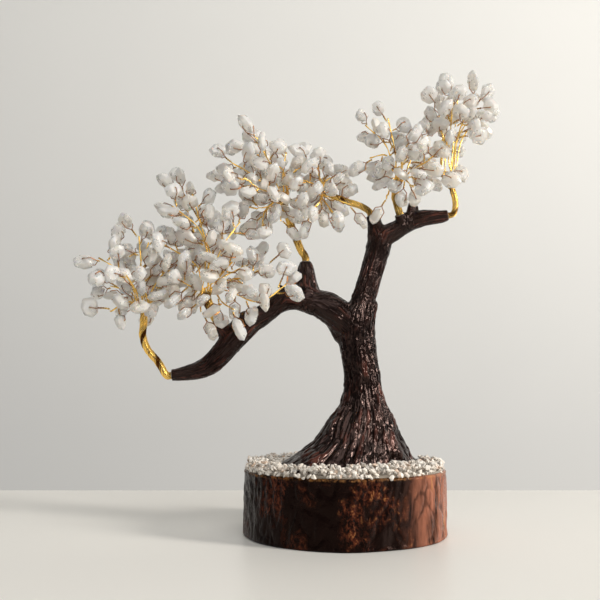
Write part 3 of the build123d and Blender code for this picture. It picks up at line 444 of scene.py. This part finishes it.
def dress(piece, material, nodes):
    """Gives a piece its material and slot, the nodes that it replaces and its body."""
    piece.data.materials.clear()
    piece.data.materials.append(material)
    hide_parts(*nodes)
    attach(piece, "root")
    return piece


def paint_node(node, material):
    """Gives a carried-over CAD node its material."""
    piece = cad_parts[node]
    piece.data.materials.clear()
    piece.data.materials.append(material)


def joined(mesh):
    """Points and normals of a mesh, with the number that each point shares with those in its place."""
    points, normals = mesh_arrays(mesh)
    cells = np.round(points / (0.002 * MM)).astype(np.int64)
    shared = np.unique(cells, axis=0, return_inverse=True)[1].reshape(-1)
    edges = np.zeros(len(mesh.edges) * 2, np.int64)
    mesh.edges.foreach_get("vertices", edges)
    edges = shared[edges].reshape(-1, 2)
    return points, normals, shared, edges[edges[:, 0] != edges[:, 1]]


def owners(count, edges):
    """Which connected solid each point belongs to, as the solid's lowest point."""
    label = np.arange(count)
    while True:
        ends = label[edges]
        low, high = ends.min(axis=1), ends.max(axis=1)
        if np.all(low == high):
            return label
        np.minimum.at(label, high, low)
        while np.any(label[label] != label):
            label = label[label]


def solids(node):
    """The points of each separate solid of a CAD node."""
    points, _, shared, edges = joined(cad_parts[node].data)
    owner = owners(int(shared.max()) + 1, edges)[shared]
    order = np.argsort(owner, kind="stable")
    return [points[members] for members in np.split(order, np.flatnonzero(np.diff(owner[order])) + 1)]


@functools.cache
def wire_lines(node, radius, step):
    """Middle line of each wire of a CAD node, at even steps from one cut end to the other."""
    points, normals, shared, edges = joined(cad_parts[node].data)
    count = int(shared.max()) + 1
    owner = owners(count, edges)
    corners = np.zeros((count, 3))
    corners[shared] = points
    both = np.vstack([edges, edges[:, ::-1]])
    both = both[np.argsort(both[:, 0], kind="stable")]
    first = np.searchsorted(both[:, 0], np.arange(count + 1))
    reach = np.linalg.norm(corners[both[:, 0]] - corners[both[:, 1]], axis=1)

    def distances(starts):
        gone = np.full(count, np.inf)
        gone[starts] = 0.0
        front = np.array(starts)
        while len(front):
            spread = first[front + 1] - first[front]
            source = np.repeat(front, spread)
            link = np.arange(len(source)) - np.repeat(np.cumsum(spread) - spread, spread) + first[source]
            target, total = both[link, 1], gone[source] + reach[link]
            better = total < gone[target] - 0.0001 * MM
            np.minimum.at(gone, target[better], total[better])
            front = np.unique(target[better])
        return gone

    def farthest(gone):
        order = np.lexsort((gone, owner))
        last = np.flatnonzero(np.append(np.diff(owner[order]) != 0, True))
        return order[last]

    along = distances(farthest(distances(np.unique(owner))))[shared]
    middles = points - normals * radius
    order = np.lexsort((along, owner[shared]))
    lines = []
    for members in np.split(order, np.flatnonzero(np.diff(owner[shared][order])) + 1):
        slot = (along[members] / step).astype(int)
        total = np.bincount(slot)
        filled = total > 0
        means = [np.bincount(slot, middles[members, k])[filled] / total[filled] for k in range(3)]
        lines.append(even_line(np.stack(means, axis=1), step))
    return lines


def unit(vector):
    return vector / np.linalg.norm(vector)


def even_line(points, step):
    """Points at even steps along a line."""
    runs = np.linalg.norm(np.diff(points, axis=0), axis=1)
    along = np.concatenate([[0.0], np.cumsum(runs)])
    count = max(2, int(round(along[-1] / step)) + 1)
    wanted = np.linspace(0.0, along[-1], count)
    return np.stack([np.interp(wanted, along, points[:, k]) for k in range(3)], axis=1)


def carried_sides(points):
    """Directions along a line and a side vector carried along it without twist."""
    ahead = np.gradient(points, axis=0)
    ahead = ahead / np.linalg.norm(ahead, axis=1)[:, None]
    axis = np.eye(3)[int(np.argmin(np.abs(ahead[0])))]
    side = unit(axis - ahead[0] * np.dot(axis, ahead[0]))
    sides = []
    for direction in ahead:
        side = unit(side - direction * np.dot(side, direction))
        sides.append(side)
    return ahead, np.array(sides)


def add_tube(store, points, radius, corners=6, centre=None, reach=1.0, tip=None, seam=1.5):
    """Adds a round wire along the points to a store, with how much painted shade it gets and how near a chip
    it is.

    A point gets painted shade where it lies deep in the bundle that has this centre and reach."""
    ahead, sides = carried_sides(points)
    ups = np.cross(ahead, sides)
    base = len(store["vertices"])
    angles = 2 * math.pi * np.arange(corners) / corners
    spread = (sides[:, None, :] * np.cos(angles)[None, :, None]
              + ups[:, None, :] * np.sin(angles)[None, :, None])
    rings = points[:, None, :] + radius * spread
    store["vertices"].extend(rings.reshape(-1, 3))
    # Painted shade: the deeper a point lies in the bundle, the darker its colour
    out = reach if centre is None else np.linalg.norm(rings - centre[:, None, :], axis=2)
    painted_shade_amount = np.clip((0.9 - np.broadcast_to(out / reach, rings.shape[:2])) * seam, 0, 1)
    store["painted_shade_amount"].extend(painted_shade_amount.reshape(-1))
    store["tip"].extend(np.repeat(np.zeros(len(points)) if tip is None else tip, corners))
    for k in range(len(points) - 1):
        low = base + k * corners
        for i in range(corners):
            j = (i + 1) % corners
            store["faces"].append((low + i, low + j, low + corners + j, low + corners + i))
    store["faces"].append(tuple(range(base + corners - 1, base - 1, -1)))
    last = base + (len(points) - 1) * corners
    store["faces"].append(tuple(range(last, last + corners)))


def empty_store():
    """Room for the points, faces and shading of a piece's wires."""
    return {"vertices": [], "faces": [], "painted_shade_amount": [], "tip": []}


# Wire

def add_twig(store, line, look, rng):
    """A twig: two legs wound round each other, and the loop that runs through the chip.

    The loop's own centre lies beyond it, so that it gets no painted shade."""
    half = len(line) // 2
    gap = np.linalg.norm(line[:half] - line[::-1][:half], axis=1)
    legs = gap[1:int(np.argmax(gap)) + 1]
    neck = max(2, 1 + int(np.argmax(legs > legs.min() * 1.5)))
    middle = (line[:neck + 1] + line[::-1][:neck + 1]) / 2
    middle = even_line(np.vstack([middle[0] * 2 - middle[1], middle]), TWIG_STEP)
    wave = np.sin(np.pi * np.linspace(0, 1, len(middle)))[:, None]
    middle = middle + wave * np.array([rng.uniform(-1, 1) for _ in range(3)]) * 0.25 * MM
    side = (line[neck] - line[-1 - neck]) / 2
    width = np.linalg.norm(side)
    ahead = unit(middle[-1] - middle[0])
    side = unit(side - ahead * np.dot(side, ahead))
    up = np.cross(ahead, side)
    left = np.arange(len(middle))[::-1] * TWIG_STEP
    angle = 2 * math.pi * left / look.twig_lay
    spread = look.twig_offset + (width - look.twig_offset) * np.clip(1 - left / (0.6 * MM), 0, 1)
    turn = spread[:, None] * (side * np.cos(angle)[:, None] + up * np.sin(angle)[:, None])
    loop = line[neck + 1:-1 - neck]
    beyond = loop + (loop - middle[-1]) / 2
    centre = np.vstack([middle, beyond, middle[::-1]])
    rise = np.clip(np.linspace(-0.35, 1.0, len(middle)), 0, 1)
    add_tube(store, np.vstack([middle + turn, loop, (middle - turn)[::-1]]), look.twig_radius,
             centre=centre, reach=look.twig_offset + look.twig_radius,
             tip=np.concatenate([rise, np.ones(len(loop)), rise[::-1]]))


def rooted(lines):
    """The strands of a stem, each turned to start at the stem's root, and the bundle's middle line."""
    ends = np.array([(line[0], line[-1]) for line in lines])
    spots = ends.reshape(-1, 3)
    gaps = [np.sum(np.min(np.linalg.norm(ends - spot, axis=2), axis=1)) for spot in spots]
    root = spots[int(np.argmin(gaps))]
    lines = [even_line(line, STRAND_STEP) for line in lines]
    lines = [line if np.linalg.norm(line[0] - root) < np.linalg.norm(line[-1] - root) else line[::-1]
             for line in lines]
    shared = min(len(line) for line in lines)
    middle = np.mean([line[:shared] for line in lines], axis=0)
    return lines, middle


def add_strand(store, line, middle, look):
    """Fine wires twisted into one strand, with painted shade where they face the stem's inside."""
    wires = look.strand_wires
    each = look.strand_radius / (1 + 1 / math.sin(math.pi / wires)) * look.strand_fill
    ring = look.strand_radius - each
    ahead, sides = carried_sides(line)
    ups = np.cross(ahead, sides)
    angle = 2 * math.pi * np.arange(len(line)) * STRAND_STEP / look.strand_lay
    core = np.vstack([middle, np.repeat(middle[-1:], len(line) - len(middle), axis=0)])
    bundle = float(np.median(np.linalg.norm(line[:20] - core[:20], axis=1))) + look.strand_radius
    for wire in range(wires):
        turn = angle + 2 * math.pi * wire / wires
        points = line + ring * (sides * np.cos(turn)[:, None] + ups * np.sin(turn)[:, None])
        add_tube(store, points, each, corners=8, centre=core, reach=bundle * 1.1, seam=6.0)


# Chips

def hull_planes(points, centre):
    """Outward normals and distances of the flat facets of a convex solid."""
    mesh = bmesh.new()
    for point in points:
        mesh.verts.new(point)
    bmesh.ops.convex_hull(mesh, input=mesh.verts)
    mesh.normal_update()
    planes = []
    for face in mesh.faces:
        normal = np.array(face.normal)
        if face.calc_area() < 1e-9:
            continue
        distance = float(np.dot(np.array(face.verts[0].co) - centre, normal))
        if distance < 0:
            normal, distance = -normal, -distance
        if all(np.dot(normal, other) < 0.9985 for other, _ in planes):
            planes.append((normal, distance))
    mesh.free()
    return np.array([n for n, _ in planes]), np.array([d for _, d in planes])


def hole_run(chip, lines):
    """Middle and direction of a chip's drilled hole, from the wire that runs through it."""
    centre = (chip.min(axis=0) + chip.max(axis=0)) / 2
    normals, distances = hull_planes(chip, centre)
    best = max(lines, key=lambda line: inside_count(line, centre, normals, distances))
    inside = best[np.all((best - centre) @ normals.T < distances, axis=1)]
    return (inside[0] + inside[-1]) / 2, unit(inside[-1] - inside[0])


def inside_count(line, centre, normals, distances):
    """How many points of a wire's line lie in a chip."""
    near = line[np.linalg.norm(line - centre, axis=1) < 6 * MM]
    return int(np.sum(np.all((near - centre) @ normals.T < distances, axis=1)))


def add_chip(store, points, centre, axis, look, rng):
    """A tumbled chip: its facets with softened edges, a corner broken off, and a drilled hole."""
    normals, distances = hull_planes(points, centre)
    cut = unit(np.array([rng.gauss(0, 1) for _ in range(3)]))
    normals = np.vstack([normals, cut])
    distances = np.append(distances, float(np.max((points - centre) @ cut)) * rng.uniform(0.80, 0.97))
    side = unit(np.cross(axis, np.eye(3)[int(np.argmin(np.abs(axis)))]))
    up = np.cross(axis, side)
    half = [float(np.max(np.abs((points - centre) @ way))) for way in (side, up, axis)]
    seed = np.array([rng.uniform(-50, 50) for _ in range(3)])
    count, rings = look.segments, look.rings
    mouth = math.asin(min(0.9, look.hole_radius / half[0] * 1.15))
    polar = mouth + (math.pi - 2 * mouth) * np.arange(rings) / (rings - 1)
    angle = 2 * math.pi * np.arange(count) / count
    flat = np.sin(polar)[:, None]
    ways = (side * (flat * np.cos(angle) * half[0])[..., None]
            + up * (flat * np.sin(angle) * half[1])[..., None]
            + axis * (np.cos(polar)[:, None] * np.ones(count) * half[2])[..., None])
    ways = ways / np.linalg.norm(ways, axis=2)[..., None]
    pull = np.maximum(ways @ normals.T, 1e-6) / distances
    soft = np.sum(pull ** look.roundness, axis=2) ** (-1 / look.roundness)
    reach = np.minimum(soft * 1.025, 1 / pull.max(axis=2))
    dent = np.array([[noise.noise(Vector(way * 1.9 + seed)) for way in row] for row in ways])
    rough = np.array([[noise.noise(Vector(way * 5.0 - seed)) for way in row] for row in ways])
    reach = reach * (1 - 0.06 * np.maximum(0.0, dent) - 0.012 * np.abs(rough))
    surface = centre + ways * reach[..., None]
    for level in (0, rings - 1):
        deep = (surface[level] - centre) @ axis
        surface[level] = centre + deep[:, None] * axis + look.hole_radius * (
            side * np.cos(angle)[:, None] + up * np.sin(angle)[:, None])
    base = len(store["vertices"])
    store["vertices"].extend(surface.reshape(-1, 3))
    for level in range(rings):
        here = base + level * count
        there = base + ((level + 1) % rings) * count
        for k in range(count):
            j = (k + 1) % count
            store["faces"].append((here + k, there + k, there + j, here + j))


# Trunk and log

def copied_mesh(node, name):
    """A copy of a CAD node's mesh, closed up, to be carved."""
    piece = bpy.data.objects.new(name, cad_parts[node].data.copy())
    bpy.context.scene.collection.objects.link(piece)
    mesh = bmesh.new()
    mesh.from_mesh(piece.data)
    bmesh.ops.remove_doubles(mesh, verts=mesh.verts, dist=2e-6)
    mesh.to_mesh(piece.data)
    mesh.free()
    return piece


def remeshed(piece, voxel):
    """Gives a piece an even, eased mesh of this step."""
    modifier = piece.modifiers.new("even", "REMESH")
    modifier.mode = "VOXEL"
    modifier.voxel_size = voxel
    modifier.adaptivity = 0.0
    modifier.use_smooth_shade = True
    smooth = piece.modifiers.new("ease", "SMOOTH")
    smooth.factor = 0.5
    smooth.iterations = 2
    depsgraph = bpy.context.evaluated_depsgraph_get()
    mesh = bpy.data.meshes.new_from_object(piece.evaluated_get(depsgraph))
    piece.modifiers.clear()
    piece.data = mesh
    return piece


def mesh_arrays(mesh):
    """A mesh's points and normals."""
    points = np.zeros(len(mesh.vertices) * 3)
    normals = np.zeros(len(mesh.vertices) * 3)
    mesh.vertices.foreach_get("co", points)
    mesh.vertices.foreach_get("normal", normals)
    return points.reshape(-1, 3), normals.reshape(-1, 3)


def store_value(mesh, name, values):
    """Keeps one number for each point, for a material to read."""
    layer = mesh.attributes.new(name, "FLOAT", "POINT")
    layer.data.foreach_set("value", values.astype(np.float32))


def limb_places(points, line):
    """Where each point lies beside a limb: distance off, way along, two bearings and the limb's radius."""
    best = np.full(len(points), np.inf)
    along = np.zeros(len(points))
    bearing = np.zeros((len(points), 2))
    radius = np.zeros(len(points))
    gone = 0.0
    depth_way = np.array([0.0, 1.0, 0.0])
    for (a, ra), (b, rb) in zip(line, line[1:]):
        a, b = np.array(a), np.array(b)
        length = np.linalg.norm(b - a)
        ahead = (b - a) / length
        share = np.clip((points - a) @ ahead / length, 0.0, 1.0)
        off = points - a - share[:, None] * (b - a)
        distance = np.linalg.norm(off, axis=1)
        nearer = distance < best
        best = np.where(nearer, distance, best)
        along = np.where(nearer, gone + (points - a) @ ahead, along)
        radius = np.where(nearer, ra + (rb - ra) * share, radius)
        second = unit(np.cross(ahead, depth_way))
        turned = np.stack([off @ depth_way, off @ second], axis=1) / np.maximum(distance, 1e-6)[:, None]
        bearing = np.where(nearer[:, None], turned, bearing)
        gone += length
    return best, along, bearing, radius


def bark_height(along, bearing, turn, seed):
    """Rounded ridges with narrow valleys that run along a limb, from 0 in a valley to 1."""
    height = np.zeros(len(along))
    for i, (way, (x, y)) in enumerate(zip(along, bearing * turn)):
        drift = noise.noise(Vector((x * 90 + seed, y * 90, way * 45)))
        broad = noise.noise(Vector((x * 300 + drift * 1.3, y * 300 + seed, way * 38)))
        narrow = noise.noise(Vector((x * 620 + drift, y * 620 - seed, way * 95 + drift)))
        fine = noise.noise(Vector((x * 1500, y * 1500 - seed, way * 260)))
        height[i] = (min(1.0, abs(broad) * 3.2) * 0.48 + min(1.0, abs(narrow) * 3.0) * 0.36
                     + min(1.0, abs(fine) * 2.5) * 0.16)
    return height


def carve_trunk(piece, look):
    """Carves the grooves along each limb, blended where limbs meet."""
    mesh = piece.data
    points, normals = mesh_arrays(mesh)
    total = np.zeros(len(points))
    weights = np.zeros(len(points))
    sizes = np.zeros(len(points))
    strongest = np.zeros(len(points))
    lie = np.zeros((len(points), 3))
    for number, (name, line) in enumerate(LIMBS.items()):
        distance, along, bearing, radius = limb_places(points, line)
        weight = (radius / np.maximum(distance, radius * 0.2)) ** 6
        near = weight > 0.05
        height = np.zeros(len(points))
        turn = TRUNK_TURN if name == "trunk" else LIMB_TURN
        height[near] = bark_height(along[near], bearing[near], turn, 11.3 * number)
        total += np.where(near, weight * height, 0.0)
        sizes += np.where(near, weight * np.clip(radius, 0.003, 0.011), 0.0)
        weights += np.where(near, weight, 0.0)
        leads = weight > strongest
        strongest = np.where(leads, weight, strongest)
        placed = np.column_stack([bearing * turn, along * look.fibre_share])
        lie = np.where(leads[:, None], placed, lie)
    weights = np.maximum(weights, 1e-9)
    height = total / weights
    size = sizes / weights
    fade = np.clip((points[:, 2] - TRUNK_LOW[2]) / 0.0015, 0.0, 1.0)
    points = points - normals * (look.depth * size * (1 - height) * fade)[:, None]
    mesh.vertices.foreach_set("co", points.reshape(-1))
    store_value(mesh, "ridge", height)
    layer = mesh.attributes.new("lie", "FLOAT_VECTOR", "POINT")
    layer.data.foreach_set("vector", lie.astype(np.float32).reshape(-1))
    mesh.update()


def carve_log(piece, look):
    """Hollows and cracks of the bark, on the side of the log only."""
    mesh = piece.data
    points, normals = mesh_arrays(mesh)
    hollow = np.zeros(len(points))
    moved = np.zeros(len(points))
    for i, (point, normal) in enumerate(zip(points, normals)):
        spread = Vector((point[0] * 140, point[1] * 140, point[2] * 75))
        big = noise.noise(spread * 0.45)
        crack = abs(noise.noise(spread + Vector((big, big, big)) * 1.5))
        fine = abs(noise.noise(spread * 3.1))
        height = min(1.0, crack * 3.0) * 0.65 + min(1.0, fine * 3.0) * 0.2 + (big + 0.5) * 0.15
        side = max(0.0, 1.0 - abs(normal[2]) * 1.6)
        hollow[i] = (1 - height) * side
        moved[i] = look.depth * (1 - height) * (side + 0.12)
    points = points - normals * moved[:, None]
    mesh.vertices.foreach_set("co", points.reshape(-1))
    store_value(mesh, "hollow", hollow)
    mesh.update()


# Gravel

def bit_mesh(rng):
    """Unit crushed bit: a rough convex block of a few flat cuts."""
    mesh = bmesh.new()
    for _ in range(11):
        way = unit(np.array([rng.gauss(0, 1) for _ in range(3)]))
        mesh.verts.new(way * rng.uniform(0.75, 1.0) * np.array([1.0, 0.8, 0.62]))
    result = bmesh.ops.convex_hull(mesh, input=mesh.verts)
    inside = [v for v in result["geom_interior"] if isinstance(v, bmesh.types.BMVert)]
    bmesh.ops.delete(mesh, geom=inside, context="VERTS")
    bmesh.ops.bevel(mesh, geom=list(mesh.edges), offset=0.09, segments=1, affect="EDGES")
    bmesh.ops.triangulate(mesh, faces=[f for f in mesh.faces if len(f.verts) > 4])
    mesh.verts.ensure_lookup_table()
    vertices = np.array([v.co for v in mesh.verts])
    faces = [[v.index for v in f.verts] for f in mesh.faces]
    mesh.free()
    return vertices, faces


def turned(rng):
    """A random turn, as three square axes."""
    first = unit(np.array([rng.gauss(0, 1) for _ in range(3)]))
    second = np.cross(first, unit(np.array([rng.gauss(0, 1) for _ in range(3)])))
    second = unit(second)
    return np.array([first, second, np.cross(first, second)])


def foot_reach(points):
    """Radius of the trunk's foot by angle about its middle, low on the plinth."""
    low = points[points[:, 2] < TRUNK_LOW[2] + 0.0035]
    middle = (low.min(axis=0) + low.max(axis=0))[:2] / 2
    rel = low[:, :2] - middle
    angles = np.arctan2(rel[:, 1], rel[:, 0])
    reach = np.hypot(rel[:, 0], rel[:, 1])
    table = np.zeros(FOOT_SECTORS)
    slots = ((angles + math.pi) / (2 * math.pi) * FOOT_SECTORS).astype(int) % FOOT_SECTORS
    for slot, value in zip(slots, reach):
        table[slot] = max(table[slot], value)
    return middle, table


# Operators

class GEMTREE_OT_stage(bpy.types.Operator):
    """Set up the table, the wall, the lamps and the camera"""
    bl_idname = "gemtree.stage"
    bl_label = "Stage"

    def execute(self, context):
        look = context.scene.gem_tree_settings.stage
        scene = context.scene
        scene.view_settings.view_transform = "Standard"
        table = Shader("table_top", specular_ior_level=0.35)
        smudge = table.noise(9.0, 3.0)
        table.drive(Base_Color=table.mix(smudge, tuple(c * 0.985 for c in look.table), tuple(look.table)),
                    Roughness=smudge * 0.1 + 0.32)
        wall = Shader("wall", roughness=0.95)
        mottle = wall.noise(6.0, 4.0)
        wall.drive(Base_Color=wall.mix(mottle, tuple(c * 0.97 for c in look.wall), tuple(look.wall)))
        back = look.table_back
        self.sheet("stage_table", [(-2.2, -1.6, 0), (2.2, -1.6, 0), (2.2, back, 0), (-2.2, back, 0)],
                   table.material)
        far = look.wall_back
        self.sheet("stage_wall", [(-4, far, -1.2), (4, far, -1.2), (4, far, 3.0), (-4, far, 3.0)],
                   wall.material)
        self.lamp("window", (2.10, -0.98, 1.02), (0.46, 0.80), 60.0, (1.0, 0.95, 0.89))
        self.lamp("ceiling", (0.20, -1.35, 1.50), (1.60, 1.60), 17.5, (1.0, 0.99, 0.97))
        world = bpy.data.worlds.new("studio")
        scene.world = world
        world.use_nodes = True
        sky = world.node_tree.nodes["Background"]
        sky.inputs["Color"].default_value = (0.95, 0.96, 0.98, 1.0)
        sky.inputs["Strength"].default_value = 0.20
        camera = bpy.data.cameras.new("view")
        camera.lens = look.lens
        camera.sensor_width = 36.0
        holder = bpy.data.objects.new("view", camera)
        scene.collection.objects.link(holder)
        holder.location = CAMERA_PLACE
        holder.rotation_euler = (math.radians(90 + CAMERA_PITCH), 0.0, 0.0)
        scene.camera = holder
        return {"FINISHED"}

    def sheet(self, name, corners, material):
        mesh = bpy.data.meshes.new(name)
        mesh.from_pydata(corners, [], [(0, 1, 2, 3)])
        mesh.materials.append(material)
        piece = bpy.data.objects.new(name, mesh)
        bpy.context.scene.collection.objects.link(piece)

    def lamp(self, name, place, size, power, colour):
        light = bpy.data.lights.new(name, "AREA")
        light.shape = "RECTANGLE"
        light.size, light.size_y = size
        light.energy = power
        light.color = colour
        holder = bpy.data.objects.new(name, light)
        bpy.context.scene.collection.objects.link(holder)
        holder.location = place
        aim = Vector(LAMP_AIM) - Vector(place)
        holder.rotation_euler = aim.to_track_quat("-Z", "Y").to_euler()


class GEMTREE_OT_wire(bpy.types.Operator):
    """Wind the stems' strands and the twigs from fine wire"""
    bl_idname = "gemtree.wire"
    bl_label = "Gold wire"

    def execute(self, context):
        look = context.scene.gem_tree_settings.wire
        gold = gold_material(look)
        rng = random.Random(5)
        for bunch in BUNCHES:
            stems = empty_store()
            strands, middle = rooted(wire_lines(f"gold_stem_{bunch}", look.strand_radius, STEM_READ_STEP))
            for line in strands:
                add_strand(stems, line, middle, look)
            self.finish_wire(f"stem_{bunch}", stems, gold, f"gold_stem_{bunch}")
            twigs = empty_store()
            for line in wire_lines(f"gold_twigs_{bunch}", TWIG_CAD_RADIUS, TWIG_READ_STEP):
                add_twig(twigs, line, look, rng)
            self.finish_wire(f"twigs_{bunch}", twigs, gold, f"gold_twigs_{bunch}")
        return {"FINISHED"}

    def finish_wire(self, name, store, gold, node):
        piece = new_piece(name, store["vertices"], store["faces"], gold, [node])
        # The painted shade of the wires, stored for the gold material
        store_value(piece.data, "painted_shade_amount", np.array(store["painted_shade_amount"]))
        store_value(piece.data, "tip", np.array(store["tip"]))


class GEMTREE_OT_chips(bpy.types.Operator):
    """Tumble the drilled quartz chips"""
    bl_idname = "gemtree.chips"
    bl_label = "Quartz chips"

    def execute(self, context):
        look = context.scene.gem_tree_settings.chips
        quartz = quartz_material(look)
        rng = random.Random(9)
        for bunch in BUNCHES:
            lines = wire_lines(f"gold_twigs_{bunch}", TWIG_CAD_RADIUS, TWIG_READ_STEP)
            store = {"vertices": [], "faces": []}
            for chip in solids(f"quartz_chips_{bunch}"):
                centre, axis = hole_run(chip, lines)
                add_chip(store, chip, centre, axis, look, rng)
            new_piece(f"chips_{bunch}", store["vertices"], store["faces"], quartz,
                      [f"quartz_chips_{bunch}"])
        return {"FINISHED"}


class GEMTREE_OT_trunk(bpy.types.Operator):
    """Carve the cast trunk"""
    bl_idname = "gemtree.trunk"
    bl_label = "Trunk"

    def execute(self, context):
        look = context.scene.gem_tree_settings.trunk
        piece = remeshed(copied_mesh("trunk", "carved_trunk"), look.voxel)
        carve_trunk(piece, look)
        dress(piece, resin_material(look), ["trunk"])
        return {"FINISHED"}


class GEMTREE_OT_log(bpy.types.Operator):
    """Carve the bark of the log"""
    bl_idname = "gemtree.log"
    bl_label = "Log"

    def execute(self, context):
        look = context.scene.gem_tree_settings.log
        piece = remeshed(copied_mesh("log_base", "bark_log"), look.voxel)
        carve_log(piece, look)
        dress(piece, bark_material(look), ["log_base"])
        return {"FINISHED"}


class GEMTREE_OT_gravel(bpy.types.Operator):
    """Pile the crushed quartz round the foot"""
    bl_idname = "gemtree.gravel"
    bl_label = "Gravel"

    def execute(self, context):
        look = context.scene.gem_tree_settings.gravel
        rng = random.Random(31)
        shapes = [bit_mesh(rng) for _ in range(24)]
        stores = {side: {"vertices": [], "faces": []} for side in SIDES}
        trunk_points, _ = mesh_arrays(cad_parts["trunk"].data)
        middle, reach = foot_reach(trunk_points)
        bed_low, bed_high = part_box("glue_bed")
        rim = min(bed_high[0], bed_high[1], -bed_low[0], -bed_low[1]) + 0.0002
        top = max(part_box(f"gravel_{side}")[1][2] for side in SIDES)
        cell = PILE_CELL
        count = int(2 * PILE_HALF / cell)
        pile = np.full((count, count), GLUE_TOP)
        for number in range(look.edge_bits + look.bits):
            size = rng.uniform(look.low, look.high) / 2
            while True:
                x, y = rng.uniform(-rim, rim), rng.uniform(-rim, rim)
                if number < look.edge_bits:
                    angle = rng.uniform(0.0, 2 * math.pi)
                    out = rim - rng.uniform(0.0, 0.0007)
                    x, y = out * math.cos(angle), out * math.sin(angle)
                if math.hypot(x, y) > rim:
                    continue
                dx, dy = x - middle[0], y - middle[1]
                sector = int((math.atan2(dy, dx) + math.pi) / (2 * math.pi) * FOOT_SECTORS) % FOOT_SECTORS
                if math.hypot(dx, dy) > reach[sector] - 0.0006 + size * 0.75:
                    break
            vertices, faces = shapes[rng.randrange(len(shapes))]
            bit = (vertices * size) @ turned(rng)
            i, j = int((x + PILE_HALF) / cell), int((y + PILE_HALF) / cell)
            w = max(1, int(size * 0.72 / cell))
            under = pile[i - w:i + w + 1, j - w:j + w + 1]
            seat = float(np.mean(under)) * 0.5 + float(under.max()) * 0.5
            low = float(bit[:, 2].min())
            high = float(bit[:, 2].max())
            sink = (0.7 if number < look.edge_bits else 0.2) * (high - low)
            if seat + (high - low) - sink > top:
                continue
            bit = bit + np.array([x, y, seat - low - sink])
            pile[i - w:i + w + 1, j - w:j + w + 1] = seat + (high - low) * 0.8 - sink
            if abs(y) > abs(x):
                store = stores["front" if y < 0 else "back"]
            else:
                store = stores["left" if x < 0 else "right"]
            base = len(store["vertices"])
            store["vertices"].extend(bit)
            store["faces"].extend([[base + k for k in face] for face in faces])
        material = gravel_material(look)
        for side, store in stores.items():
            new_piece(f"crushed_{side}", store["vertices"], store["faces"], material,
                      [f"gravel_{side}"], smooth=False)
        return {"FINISHED"}


class GEMTREE_OT_fixings(bpy.types.Operator):
    """Finish the glue and the screws"""
    bl_idname = "gemtree.fixings"
    bl_label = "Glue and screws"

    def execute(self, context):
        # The glue's material carries painted shade of the gaps in the gravel
        glue = glue_with_gap_shade_material()
        paint_node("glue_bed", glue)
        paint_node("socket_glue", glue)
        paint_node("base_screws", zinc_material())
        return {"FINISHED"}


class GEMTREE_PT_panel(bpy.types.Panel):
    """Lists the steps of the dressing"""
    bl_idname = "GEMTREE_PT_panel"
    bl_label = "Gem tree"
    bl_space_type = "VIEW_3D"
    bl_region_type = "UI"
    bl_category = "Gem tree"

    def draw(self, context):
        for operator in OPERATORS:
            self.layout.operator(operator.bl_idname)
        for group in ("wire", "chips", "trunk", "log", "gravel", "stage"):
            box = self.layout.box()
            box.label(text=group.title())
            settings = getattr(context.scene.gem_tree_settings, group)
            for key in settings.__annotations__:
                box.prop(settings, key)


OPERATORS = (GEMTREE_OT_stage, GEMTREE_OT_log, GEMTREE_OT_trunk, GEMTREE_OT_gravel, GEMTREE_OT_fixings,
             GEMTREE_OT_wire, GEMTREE_OT_chips)
CLASSES = (GemTreeWire, GemTreeChips, GemTreeTrunk, GemTreeLog, GemTreeGravel, GemTreeStage, GemTreeSettings,
           *OPERATORS, GEMTREE_PT_panel)


def register():
    for item in CLASSES:
        bpy.utils.register_class(item)
    bpy.types.Scene.gem_tree_settings = PointerProperty(type=GemTreeSettings)


def unregister():
    del bpy.types.Scene.gem_tree_settings
    for item in reversed(CLASSES):
        bpy.utils.unregister_class(item)


def main():
    register()
    bpy.ops.gemtree.stage()
    bpy.ops.gemtree.log()
    bpy.ops.gemtree.trunk()
    bpy.ops.gemtree.gravel()
    bpy.ops.gemtree.fixings()
    bpy.ops.gemtree.wire()
    bpy.ops.gemtree.chips()


if __name__ == "__main__":
    main()
